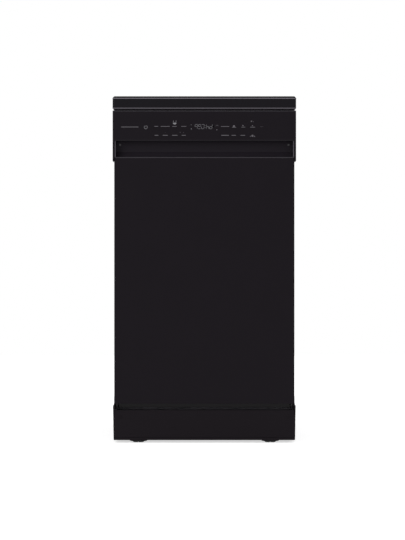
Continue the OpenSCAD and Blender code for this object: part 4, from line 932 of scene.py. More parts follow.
class DISHWASHER_OT_door(bpy.types.Operator):
    """Builds the lacquered door skin and the pressed stainless liner behind it"""

    bl_idname = "dishwasher.door"
    bl_label = "Door"

    def execute(self, context):
        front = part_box("outer_door_panel")[0].y
        refit("outer_door_panel", "door_skin", "lacquered_steel_door", "door_steel", 1.1, 4,
              chosen=lambda e: all(abs(v.co.y - front) < 1e-5 for v in e.verts))
        self.liner()
        return {"FINISHED"}

    def liner(self):
        """One sheet: a flat rim, a rounded step down into the pressed field, a shallow bead
        round the field, and a folded edge at the dispenser."""
        low, high = span("inner_door_liner")
        face, sheet, press = high.y, 0.8, 5.0
        rim = ((low.x, low.z), (high.x, high.z))
        field = ((-172.0, low.z + 46), (172.0, high.z - 30))
        hole = ((-81.0, 349.0), (81.0, 526.0))
        # Each step: the outline it follows, how far inside it, how deep, and the corner radius
        steps = [(rim, 0, 0.0, 2), (rim, 1.2, 0.0, 2)]
        steps += [(field, inset, depth, max(16 - inset * 0.25, 6)) for inset, depth in
                  ((-6, 0.0), (-2.5, 0.3), (-0.6, 1.4), (0.4, 3.4), (1.8, 4.7), (4.5, press),
                   (16, press), (19, press - 0.6), (23, press - 1.6), (30, press - 1.6),
                   (34, press - 0.6), (37, press))]
        steps += [(hole, inset, depth, 3 - inset * 0.4) for inset, depth in
                  ((-14, press), (-5, press), (-2, press), (0, press + 0.5))]
        runs = (spread(0.1, 0.9, 5),) * 4

        def ring(outline, inset, depth, radius, back):
            """A step as a ring of points, its back set behind its face."""
            lows, highs = outline
            return [(u, face - depth - back, v) for u, v in rounded_rect(
                [a + inset for a in lows], [b - inset for b in highs], radius, 5, runs)]

        rings = [ring(*step, 0.0) for step in steps] + [ring(*step, sheet) for step in steps[::-1]]
        assemble("door_liner", [(loft(rings, closed=True), "stainless_liner")], "inner_door_liner")


class DISHWASHER_OT_fascia(bpy.types.Operator):
    """Builds the control panel with its plain marks, the grip bowl and the circuit board"""

    bl_idname = "dishwasher.fascia"
    bl_label = "Control panel"

    # Plain stand-ins for the printed marks: left, right, middle height and thickness
    BARS = (
        (-121.7, -112.3, 771.3, 1.3), (-106.1, -84.3, 771.3, 1.3), (-78.1, -67.2, 771.3, 1.3),
        (-56.3, -43.8, 771.3, 1.3), (-121.2, -111.7, 749.5, 1.6), (-101.5, -89.0, 749.5, 1.6),
        (-78.8, -65.0, 749.5, 1.6), (-55.2, -45.2, 749.5, 1.6), (40.6, 60.5, 771.0, 1.3),
        (67.4, 77.4, 769.0, 1.2), (90.0, 99.6, 769.4, 1.2), (111.4, 123.6, 769.4, 1.3),
        (135.6, 143.4, 770.4, 0.35), (41.2, 59.9, 749.5, 1.7), (66.1, 76.8, 749.5, 1.5),
        (87.9, 99.2, 749.5, 1.5), (-202.6, -160.4, 769.8, 1.5))
    # Small round marks: middle, height and radius
    DOTS = ((72.0, 771.6, 2.6), (94.0, 773.2, 1.5), (117.0, 773.0, 1.3), (117.0, 748.4, 2.6),
            (112.0, 747.0, 1.1), (122.0, 747.0, 1.3), (114.6, 783.6, 1.6), (119.0, 782.6, 0.8),
            (30.4, 763.0, 1.2), (-59.0, 756.6, 0.7), (-50.6, 756.6, 0.6), (-95.5, 756.6, 0.35))

    # The seven strokes of a figure: foot, waist, head, lower and upper left, lower and upper right
    SEGMENTS = ((0, 0, 1, 0), (0, 1, 1, 1), (0, 2, 1, 2), (0, 0, 0, 1), (0, 1, 0, 2),
                (1, 0, 1, 1), (1, 1, 1, 2))

    # The lit figures, each as its left edge and the strokes that are lit
    FIGURES = ((-23.4, 0b1110110), (-15.4, 0b1010111), (-7.2, 0b1101101), (4.6, 0b0111010),
               (12.4, 0b1101011))
    # Foot of the figures, their height and width, the width of a stroke, and their slant
    FOOT, TALL, WIDE, STROKE, SLANT = 765.4, 10.6, 6.0, 0.95, 0.1
    INK = 0.15  # the face stands back by this much, so that the marks stay within its box

    def execute(self, context):
        shape = frame_copy("fascia")
        front = min(v.co.y for v in shape.verts) + self.INK * MM
        soften(shape, 0.5)
        for vert in shape.verts:
            vert.co.y = max(vert.co.y, front)
        panel = assemble("control_fascia", [(shape, "moulded_abs_fascia")], "fascia")
        low, high = span("fascia")
        # Painted highlights on the panel's lower and upper chamfers
        repaint(panel, "dull_arris", lambda p, n: 735.5 < p.z < 738.6 and n.y < -0.3 and n.z < -0.3)
        repaint(panel, "polished_arris",
                lambda p, n: p.z > high.z - 2.4 and n.y < -0.3 and n.z > 0.2)
        self.face = low.y + self.INK
        for name, marks in (("printed_marks", [(mark, "screen_ink") for mark in self.marks()]),
                            ("display_digits", [(mark, "lit_segment") for mark in self.digits()]
                             + [(mark, "lit_sign") for mark in self.sign()])):
            assemble(name, marks, None, body_of("fascia"))
        self.bowl()
        self.board()
        return {"FINISHED"}

    def bowl(self):
        """The grip bowl with its end walls; their front edges and its lip carry painted highlights.
        """
        low, high = span("handle_bowl")
        lip, head = low.y, 736.0
        side = [(lip, low.z + 2.2), (-276.0, low.z + 4.4), (-268.4, low.z + 16.6), (-268.4, head),
                (lip, head)]
        walls = [(soften(prism(side, "X", x, x + 2.3), 0.3), "moulded_abs_grip")
                 for x in (low.x + 0.1, high.x - 2.4)]
        piece = refit("handle_bowl", "grip_bowl", "moulded_abs_grip", "grip_plastic", 0.5, 3,
                      extra=walls)
        # Painted highlights on the front edges: the fainter one on the lip, the brighter one above
        # it
        for surface, foot in (("polished_arris", low.z - 1), ("trimmed_arris", low.z + 8)):
            repaint(piece, surface, lambda p, n: p.y < lip + 1.0 and n.y < -0.6 and p.z > foot)

    def slip(self, outline):
        """A thin layer of ink on the face of the panel."""
        return prism(outline, "Y", self.face - 0.12, self.face + 0.05)

    def bar(self, x0, x1, z, thick):
        """A rounded bar from its ends, its middle height and its thickness."""
        return self.slip(rounded_rect((x0, z - thick / 2), (x1, z + thick / 2), thick * 0.45, 3))

    def dot(self, x, z, radius, steps=24):
        """A round mark."""
        return self.slip(arc((x, z), radius, 0, 360, steps)[:-1])

    def ring(self, x, z, outer, inner, start, end):
        """The part of a ring between two angles."""
        return self.slip(arc((x, z), outer, start, end, 28) + arc((x, z), inner, end, start, 28))

    def marks(self):
        """The printed bars and dots, with a dial arc and a stroke beside the display."""
        return ([self.bar(*bar) for bar in self.BARS] + [self.dot(*dot) for dot in self.DOTS]
                + [self.ring(30.9, 771.0, 3.6, 2.9, 20, 160), self.bar(20.9, 22.1, 771.0, 4.0)])

    def digits(self):
        """Seven-segment figures that read as plain numbers, and lit marks."""
        found = []
        for left, lit in self.FIGURES:
            for bit, (x0, z0, x1, z1) in enumerate(self.SEGMENTS):
                if not lit >> bit & 1:
                    continue
                a = Vector((x0 * self.WIDE, z0 * self.TALL / 2))
                b = Vector((x1 * self.WIDE, z1 * self.TALL / 2))
                along = (b - a).normalized()
                across = Vector((-along.y, along.x)) * self.STROKE / 2
                tip = along * self.STROKE * 0.62
                outline = [a + tip * 0.5, a + tip - across, b - tip - across, b - tip * 0.5,
                           b - tip + across, a + tip + across]
                found.append(self.slip([(left + p.x + self.SLANT * p.y, self.FOOT + p.y)
                                        for p in outline]))
        found += [self.bar(-33.4, -30.4, 775.0, 0.9), self.dot(-31.7, 765.2, 1.3, 18),
                  self.dot(1.9, 768.6, 0.7, 12), self.dot(1.9, 773.6, 0.7, 12)]
        # The power key: an open ring with a stroke through its gap
        found += [self.ring(-142.5, 769.2, 4.5, 3.3, 115, 425),
                  self.slip(rounded_rect((-142.9, 769.6), (-142.1, 773.6), 0.35, 3))]
        return found

    def sign(self):
        """The lit sign over the third key: a steaming bowl."""
        return [self.slip(outline) for outline in (
            arc((-72.2, 780.3), 4.4, 180, 360, 14),
            rounded_rect((-76.15, 782.8), (-74.65, 785.0), 0.6, 3),
            rounded_rect((-69.55, 782.8), (-68.05, 785.0), 0.6, 3))]

    def board(self):
        """The circuit board of the frame, with its keys, lamps and chips."""
        low = span("control_board")[0]
        key = soften(slab((-3, -1.8, -3), (3, 1.8, 3)), 0.3)
        lamp = lathe([(0, -1.6), (1.4, -1.6), (1.5, 0.2), (1.0, 1.2), (0, 1.6)], axis="Y", steps=12)
        chip = soften(slab((-6, -1, -4), (6, 1, 4)), 0.3)
        front, back = -292.2, -288.4  # where parts stand before and behind the board
        keys = [(x, front, low.z + 6) for x in spread(-120, -48, 4) + spread(58, 120, 4)]
        lamps = [(x, front, low.z + 16) for x in spread(-120, -48, 7) + spread(58, 120, 6)]
        chips = [(x, back, low.z + z) for x, z in ((-90, 15), (-20, 9), (40, 28))]
        assemble("control_electronics",
                 [(soften(frame_copy("control_board"), 0.25), "solder_mask"),
                  copies(key, keys, "component_black"), copies(lamp, lamps, "acetal_white"),
                  copies(chip, chips, "component_black")], "control_board")


class DISHWASHER_OT_latch(bpy.types.Operator):
    """Builds the door lock and its claw"""

    bl_idname = "dishwasher.latch"
    bl_label = "Door lock"

    def execute(self, context):
        refit("door_latch", "lock_housing", "acetal_white", "white_plastic")
        refit("latch_claw", "lock_claw", "galvanised_sheet", "galvanised_steel", 0.35)
        return {"FINISHED"}


class DISHWASHER_OT_hinge(bpy.types.Operator):
    """Builds the hinge plates and the balance springs with their ropes"""

    bl_idname = "dishwasher.hinge"
    bl_label = "Hinges and springs"

    PITCH, COIL, WIRE = 2.25, 5.0, 0.9

    def execute(self, context):
        refit("hinge_brackets", "hinge_mounts", "black_zinc", "black_steel", 0.35)
        refit("hinge_arms", "hinge_levers", "black_zinc", "black_steel", 0.35)
        parts = []
        for part, low, high in loose_parts(frame_copy("door_springs")):
            size, middle = high - low, (low + high) / 2
            if size.z > 140 and size.x > 9:
                parts.append(coil(size.z / self.PITCH, self.COIL, size.z, self.WIRE,
                                  (middle.x, middle.y, low.z), "spring_steel"))
                part.free()
            elif size.x < 3 or size.y < 3 < size.z:
                parts.append((part, "braided_rope"))
            else:
                parts.append((soften(part, 0.4), "spring_steel"))
        assemble("balance_springs", parts, "door_springs")
        return {"FINISHED"}


class DISHWASHER_OT_screws(bpy.types.Operator):
    """Sets the cross-head screws of the door and the panels"""

    bl_idname = "dishwasher.screws"
    bl_label = "Screws"

    FRONT = -255  # screws before this face the user

    def execute(self, context):
        self.drive("door_screws", "door_screw_heads", "black_screw")
        self.drive("panel_screws", "panel_screw_heads", "filled_pp_base")
        return {"FINISHED"}

    def drive(self, node, name, front):
        """One head of each size is kept, and copied to every place where that size sits."""
        groups = {}
        for part, low, high in loose_parts(frame_copy(node)):
            middle = (low + high) / 2
            surface = front if middle.y < self.FRONT else "zinc_screw"
            groups.setdefault((round(high.x - low.x, 1), surface), []).append((part, middle))
        parts = []
        for (_, surface), members in sorted(groups.items(), key=lambda group: group[0]):
            part, middle = members[0]
            for vert in part.verts:
                vert.co -= middle * MM
            parts.append(copies(soften(part, 0.12), [place for _, place in members], surface))
        assemble(name, parts, node)


class DISHWASHER_OT_dispenser(bpy.types.Operator):
    """Builds the detergent dispenser, its sliding lid and the rinse aid cap"""

    bl_idname = "dishwasher.dispenser"
    bl_label = "Dispenser"

    def execute(self, context):
        low, high = span("dispenser_body")
        grey = ("pale_grey_pp", "pale_grey_plastic")
        ribs = copies(soften(slab((-0.5, -0.7, -26), (0.5, 0.2, 26)), 0.2),
                      [(x, high.y, low.z + 44) for x in spread(-64, 64, 17)], grey[0])
        refit("dispenser_body", "dispenser_housing", *grey, 0.9, 3, extra=[ribs])
        refit("dispenser_lid", "dispenser_slide", *grey, 0.45, 3)
        self.cap()
        return {"FINISHED"}

    def cap(self):
        """A knurled cap with a raised grip bar."""
        low, high = span("rinse_aid_cap")
        x, z, face = (low.x + high.x) / 2, (low.z + high.z) / 2, high.y - 6
        blue = "clear_blue_pp"
        body = lathe([(0, low.y), (11.5, low.y), (11.85, low.y + 0.5), (11.85, face + 0.3),
                      (15.9, face + 0.3), (16.4, face + 0.9), (16.2, face + 3.2), (15.2, face + 4),
                      (9, face + 4), (8, face + 3.4), (0, face + 3.4)], (x, 0, z), "Y", 48)
        tooth = soften(slab((-0.45, 0, -0.5), (0.45, 2.4, 0.62)), 0.15, 1)
        teeth = [(u, face + 0.8, v) for u, v in circle(x, z, 16.35, 30)]
        bar = soften(prism(rounded_rect((x - 13, z - 2), (x + 13, z + 2), 1.9, 4), "Y",
                           face + 3.2, face + 6), 0.6, 3)
        assemble("rinse_cap", [(body, blue), copies(tooth, teeth, blue), (bar, blue)],
                 "rinse_aid_cap")


# ---------- tub ----------

class DISHWASHER_OT_tub(bpy.types.Operator):
    """Builds the stainless tub with its pressed fields, the door seal and the felt jacket"""

    bl_idname = "dishwasher.tub"
    bl_label = "Tub"

    SHEET, FLANGE_LOW, FLANGE_TOP, FLANGE_SIDE = 0.8, 9.0, 9.8, 21.0
    LOW_R, TOP_R, REAR_R = 12.0, 28.0, 10.0
    # Pressed fields of the side walls: front, low, rear and top
    FIELDS = tuple((y0, z0, y1, z1) for y0, y1 in ((-188, -16), (10, 196))
                   for z0, z1 in ((228, 500), (576, 742)))
    PRESS, SLOPE = 1.6, 7.0  # how far a field stands out, and half the width of its edge
    # Holes in the floor for the sump and the salt neck: radius and middle
    HOLES = ((94.0, 20.0, -40.0), (32.4, -125.0, -60.0))

    def execute(self, context):
        low, high = span("tub")
        self.floor, self.ceiling = low.z + self.FLANGE_LOW, high.z - self.FLANGE_TOP
        self.half = high.x - self.FLANGE_SIDE
        self.front, self.rear = low.y, high.y - self.SHEET
        self.shell()
        self.seal()
        self.felt()
        return {"FINISHED"}

    def across_edges(self, edges):
        """Places across the sloping edges of the pressed fields."""
        return {edge + self.SLOPE * share for edge in edges for share in (-1, -0.5, 0, 0.5, 1)}

    def all_runs(self):
        """Shares along the floor, a side, the top and a side. Those of the sides fall closely at
        the edges of the pressed fields."""
        a, b = self.floor + self.LOW_R, self.ceiling - self.TOP_R
        heights = {160, 195, 270, 320, 370, 420, 460, 527, 551, 620, 660, 700}
        heights |= self.across_edges([z for _, z0, _, z1 in self.FIELDS for z in (z0, z1)])
        side = [(z - a) / (b - a) for z in sorted(heights) if a < z < b]
        even = spread(0.08, 0.92, 9)
        return even, side, even, [1 - t for t in side[::-1]]

    def outline(self, grow, runs):
        """The inside of the tub seen from the front, and grown by an amount."""
        low_r, top_r = self.LOW_R + grow, self.TOP_R + grow
        return rounded_rect((-self.half - grow, self.floor - grow),
                            (self.half + grow, self.ceiling + grow),
                            (low_r, low_r, top_r, top_r), 6, runs)

    def pressed(self, y, z):
        """How far the side wall stands out at a point."""
        inside = max(min(y - y0, y1 - y, z - z0, z1 - z) for y0, z0, y1, z1 in self.FIELDS)
        share = min(max((inside + self.SLOPE) / (2 * self.SLOPE), 0.0), 1.0)
        return self.PRESS * share * share * (3 - 2 * share)

    def press(self, points, grow, y):
        """The points of an outline at a depth, those of its side walls pressed outwards."""
        pressed = []
        for x, z in points:
            out = self.pressed(y, z) if abs(abs(x) - self.half - grow) < 0.01 else 0.0
            pressed.append((x + math.copysign(out, x), y, z))
        return pressed

    def shell(self):
        """One sheet: a flange, a rolled front edge, the pressed walls and the dished rear."""
        runs = self.all_runs()
        depths = {self.front + 6, self.front + 30, self.rear - 22}
        for y0, _, y1, _ in self.FIELDS:
            depths |= self.across_edges((y0, y1)) | {(y0 + y1) / 2}

        def wall(thick):
            """The rings of the inside, or of the outside at a thickness."""
            rings = [[(x, self.front + thick, z) for x, z in rounded_rect(
                (-self.half - self.FLANGE_SIDE, self.floor - self.FLANGE_LOW),
                (self.half + self.FLANGE_SIDE, self.ceiling + self.FLANGE_TOP), 5, 6, runs)]]
            for grow, y in ((4.0, self.front), (1.4, self.front + 0.3), (0.4, self.front + 1.2)):
                rings.append([(x, y + thick, z) for x, z in self.outline(grow + 0.5 * thick, runs)])
            rings += [self.press(self.outline(thick, runs), thick, y) for y in sorted(depths)]
            for a, b in arc((-self.REAR_R, self.rear - self.REAR_R), self.REAR_R + thick, 0, 90, 4):
                rings.append([(x, b, z) for x, z in self.outline(a, runs)])
            for inset, deep in ((34, 0), (37, 0.5), (41, 2), (44, 2.5), (70, 2.5)):
                rings.append([(x, self.rear + thick - deep, z)
                              for x, z in self.shrunk(inset, runs)])
            return rings

        inner, outer = wall(0.0), wall(self.SHEET)
        shape = loft(inner[::-1] + outer)
        cutters = [lathe([(r, self.floor - 6), (r, self.floor + 6)], (x, y, 0), steps=56)
                   for r, x, y in self.HOLES]
        assemble("tub_shell", [(self.cut(shape, cutters), "stainless_tub")], "tub")

    def shrunk(self, inset, runs):
        """The tub outline drawn in towards the middle of the rear wall."""
        low_r, top_r = 14.0, 20.0
        return rounded_rect((-self.half + inset, self.floor + inset),
                            (self.half - inset, self.ceiling - inset),
                            (low_r, low_r, top_r, top_r), 6, runs)

    def cut(self, shape, cutters):
        """Cuts holes through a shape."""
        carrier = placed("sheet", as_mesh(shape))
        tools = [placed("cutter", as_mesh(cutter)) for cutter in cutters]
        for tool in tools:
            hole = carrier.modifiers.new("hole", "BOOLEAN")
            hole.operation, hole.solver, hole.object = "DIFFERENCE", "EXACT", tool
        mesh = plain(carrier)
        for used in (carrier, *tools):
            bpy.data.objects.remove(used)
        return mesh

    def seal(self):
        """A hollow bulb on a foot, with a thin lip towards the tub."""
        low, high = span("tub_gasket")
        front, back, inner = low.y, high.y, 2.8
        runs = ([0.5],) * 4
        profile = [(inner + 0.6, back), (inner, back - 0.8), (inner + 0.3, back - 1.6),
                   (inner + 1.3, back - 1.8), (inner + 1.6, back - 2.4), (inner + 1.9, back - 3.1),
                   (inner + 2.9, front + 0.2), (inner + 4.1, front), (inner + 5.4, front + 0.3),
                   (inner + 6.3, front + 1.1), (inner + 6.5, front + 2.1),
                   (inner + 7.0, back - 1.0), (inner + 7.0, back)]
        rings = [[(x, y, z) for x, z in self.outline(grow, runs)] for grow, y in profile]
        assemble("door_seal", [(loft(rings, closed=True), "epdm_seal")], "tub_gasket")

    def felt(self):
        """Felt over the sides and the top, a little uneven, following the pressed fields."""
        low, high = span("tub_insulation")
        near, far, swell = 1.1, 6.1, 0.25
        runs = ([], *self.all_runs()[1:])

        def strip(grow):
            """The tub outline from one foot of the felt over the top to the other."""
            points = self.outline(grow, runs)
            first = next(i for i, (x, z) in enumerate(points) if x > 0 and z > low.z)
            last = max(i for i, (x, z) in enumerate(points) if x < 0 and z > low.z)
            return [(points[first][0], low.z), *points[first:last + 1], (points[last][0], low.z)]

        rings = []
        for y in spread(low.y, high.y, 40):
            outer = strip(far - swell + swell * math.sin(y * 0.31))
            rings.append(self.press(strip(near), near, y) + [(x, y, z) for x, z in outer[::-1]])
        assemble("felt_jacket", [(loft(rings), "bitumen_felt")], "tub_insulation")


# ---------- sump, filters and softener ----------

class DISHWASHER_OT_sump(bpy.types.Operator):
    """Builds the sump, the perforated filter plate, the fine filter, the softener and its cap"""

    bl_idname = "dishwasher.sump"
    bl_label = "Sump and filters"

    CENTRE, FILTER, HUB = (20.0, -40.0), (45.0, -80.0), (0.0, 10.0)

    def execute(self, context):
        refit("sump", "sump_bowl", "dark_grey_pp", "dark_grey_plastic", 0.8)
        self.plate(context.scene.dishwasher_sizes.filter_pitch / MM)
        self.fine_filter()
        low, high = span("softener")
        rib = soften(slab((-1, -70, -0.8), (1, 70, 1.2)), 0.4)
        ribs = copies(rib, [(x, 18, high.z - 15.5) for x in spread(low.x + 14, high.x - 14, 7)],
                      "natural_pp")
        refit("softener", "softener_tank", "natural_pp", "white_plastic", 1.2, 3, extra=[ribs])
        self.salt_cap()
        return {"FINISHED"}

    def plate(self, pitch):
        """Hexagonal cells round the holes, between a plain outer rim and plain collars."""
        low, high = span("filter_plate")
        middle, outer = (low.z + high.z) / 2, (high.x - low.x) / 2
        rim, collar, hub = outer - 5, 39.0, 20.0
        step = pitch * 0.866  # from one row of hexagons to the next
        rows, places = int(rim / step) + 1, []
        x0, y0 = self.CENTRE
        for row in range(-rows, rows + 1):
            for column in range(-rows, rows + 1):
                spot = (x0 + pitch * (column + 0.5 * (row % 2)), y0 + step * row)
                if (math.dist(spot, self.CENTRE) < rim + 1
                        and math.dist(spot, self.FILTER) > collar - 1
                        and math.dist(spot, self.HUB) > hub - 1):
                    places.append((*spot, middle))
        parts = [copies(self.cell(pitch, pitch * 0.29, high.z - low.z), places, "etched_steel")]
        for centre, inner, wide in ((self.CENTRE, rim - 1, outer), (self.FILTER, 35.0, collar + 1),
                                    (self.HUB, 16.0, hub + 1)):
            parts.append((self.washer(centre, inner, wide, low.z, high.z), "etched_steel"))
        assemble("filter_screen", parts, "filter_plate")

    def washer(self, centre, inner, outer, low, high, edge=0.3):
        """A flat ring with broken edges."""
        return lathe([(inner, low + edge), (inner + edge, low), (outer - edge, low),
                      (outer, low + edge), (outer, high - edge), (outer - edge, high),
                      (inner + edge, high), (inner, high - edge)], (*centre, 0), steps=72,
                     closed=True)

    def cell(self, pitch, hole, thick):
        """A hexagon with a round hole, about the origin."""
        corners = [math.radians(30 + 60 * i) for i in range(6)]
        half = thick / 2 - 0.2
        across = pitch / math.sqrt(3)
        return loft([[(r * math.cos(a), r * math.sin(a), z) for a in corners]
                     for r, z in ((hole, half), (across, half), (across, -half), (hole, -half))],
                    closed=True)

    def fine_filter(self):
        """A woven screen in a ribbed cage, with a collar and a T-shaped grip."""
        low, high = span("filter_cylinder")
        x, y = (low.x + high.x) / 2, (low.y + high.y) / 2
        foot, radius, rim = low.z, 34.0, high.z - 14.0
        half, screen = (rim - foot) / 2, radius - 1.3
        cage = lathe([(0, foot), (radius - 1, foot), (radius, foot + 1), (radius, foot + 4),
                      (radius - 1.8, foot + 4.4), (radius - 1.8, foot + 2.5), (0, foot + 2.5)],
                     (x, y, 0))
        collar = lathe([(radius - 2.2, rim - 3), (radius, rim - 3), (radius, rim + 0.1),
                        (radius + 4.4, rim + 0.1), (radius + 5, rim + 0.7), (radius + 5, rim + 1.9),
                        (radius + 4.2, rim + 2.6), (radius - 2.2, rim + 2.6)], (x, y, 0), steps=48,
                       closed=True)
        stem = soften(slab((x - 3, y - 21, foot + 1.5), (x + 3, y + 21, high.z - 5)), 0.8, 3)
        knob = lathe([(0, high.z - 9), (7.6, high.z - 9), (9, high.z - 7.6), (9, high.z - 2),
                      (7.4, high.z - 0.4), (0, high.z)], (x, y, 0))
        wing = soften(slab((x - 2.2, y - 21, high.z - 6), (x + 2.2, y + 21, high.z - 1)), 0.9, 3)
        bar = soften(slab((-1.1, -0.9, -half), (1.1, 0.9, half)), 0.3)
        bars = [(u, v, foot + half) for u, v in circle(x, y, radius - 1.1, 12)]
        loops = [[(u, v, z) for u, v in circle(x, y, screen, 36)]
                 for z in spread(foot + 7, rim - 5, 9)]
        strands = [[(u, v, foot + 3), (u, v, rim - 2)] for u, v in circle(x, y, screen, 72)]
        web = wires([loop + loop[:1] for loop in loops] + strands, 0.45 * MM, "etched_steel", 0.0)
        grey = "dark_grey_pp"
        assemble("fine_filter", [(part, grey) for part in (cage, collar, stem, knob, wing)]
                 + [copies(bar, bars, grey), web], "filter_cylinder")

    def salt_cap(self):
        """A screw cap with a scalloped rim and a grip across it."""
        low, high = span("salt_cap")
        x, y = (low.x + high.x) / 2, (low.y + high.y) / 2
        seat, radius, white = high.z - 13, 34.0, "acetal_white"
        cap = lathe([(0, low.z), (26, low.z), (27.7, low.z + 1.2), (27.7, seat + 0.4),
                     (radius - 1.2, seat + 0.4), (radius - 0.6, seat + 1.2),
                     (radius - 0.6, seat + 6.4), (radius - 2.4, seat + 8), (22, seat + 8),
                     (20, seat + 6.6), (0, seat + 6.6)], (x, y, 0), steps=64)
        tooth = soften(slab((-0.9, -0.9, 0), (0.6, 0.9, 5.2)), 0.35)
        teeth = [(u, v, seat + 1.4) for u, v in circle(x, y, radius - 0.8, 40)]
        grip = soften(slab((x - 23, y - 3, seat + 6), (x + 23, y + 3, high.z)), 1.2, 3)
        assemble("salt_screw_cap", [(cap, white), copies(tooth, teeth, white), (grip, white)],
                 "salt_cap")


class DISHWASHER_OT_pumps(bpy.types.Operator):
    """Builds the wash pump, the drain pump, the inlet valve, the drain outlet and the gland"""

    bl_idname = "dishwasher.pumps"
    bl_label = "Pumps and connections"

    def execute(self, context):
        grey, white = ("dark_grey_pp", "dark_grey_plastic"), ("acetal_white", "white_plastic")
        self.pump("wash_pump", "circulation_pump", "Y", (162.0, 58.0), 31.0, (0.35, 0.92), 12)
        self.pump("drain_pump", "drain_pump_motor", "X", (150.0, 45.0), 20.0, (0.45, 0.95), 8)
        self.port("inlet_valve", "inlet_valve_body", *white, (150.0, 60.0), 13.2, 6)
        self.port("drain_outlet", "drain_spigot", *grey, (-150.0, 60.0), 10.0, 4)
        refit("cable_gland", "mains_gland", *grey)
        return {"FINISHED"}

    def pump(self, node, name, axis, centre, radius, shares, count):
        """The housing from the frame, with cooling ribs between two shares of its length."""
        low, high = (corner["XYZ".index(axis)] for corner in span(node))
        rib = lathe([(radius - 0.4, -0.9), (radius + 1.4, -0.7), (radius + 1.4, 0.7),
                     (radius - 0.4, 0.9)], axis=axis, steps=36, closed=True)
        ends = [low + (high - low) * share for share in shares]
        ribs = copies(rib, [on_axis(axis, *centre, h) for h in spread(*ends, count)],
                      "motor_lamination")
        refit(node, name, "mid_grey_pp", "motor_housing", 1.0, 3, extra=[ribs])

    def port(self, node, name, surface, slot, middle, radius, count):
        """A port with so many ridges: a rolled thread, or barbs for a hose."""
        high = span(node)[1]
        x, z = middle
        profile = [(radius - 0.3, -0.8), (radius + 0.02, -0.1), (radius + 0.02, 0.1),
                   (radius - 0.3, 0.8), (radius - 1.5, 0.8), (radius - 1.5, -0.8)]
        ridges = [lathe([(r, y + h) for r, h in profile], (x, 0, z), "Y", closed=True)
                  for y in spread(high.y - 11.5, high.y - 1.0, count)]
        refit(node, name, surface, slot, extra=[(ridge, surface) for ridge in ridges])


class DISHWASHER_OT_hoses(bpy.types.Operator):
    """Builds the ringed hoses below the tub and the air break at its side"""

    bl_idname = "dishwasher.hoses"
    bl_label = "Hoses and air break"

    # Each hose follows the middle of the plain tubes that stand for it: path, radius and bend
    ROUTES = (
        (((150, 246, 94), (150, 246, 102), (-213.2, 246, 102), (-213.2, 246, 350),
          (-213.2, 120, 350)), 6.0, 14.0),
        (((97, -89, 118), (162, -89, 118), (162, -89, 104)), 11.6, 12.0),
        (((-80, 150, 45), (-150, 150, 45), (-150, 232, 45), (-150, 232, 60), (-150, 254, 60)),
         9.6, 12.0))

    def execute(self, context):
        assemble("water_hoses", [hose(*route) for route in self.ROUTES], "sump_hoses")
        refit("air_break", "air_break_panel", "pale_grey_pp", "pale_grey_plastic", 1.0, 3)
        return {"FINISHED"}


# ---------- spray system ----------

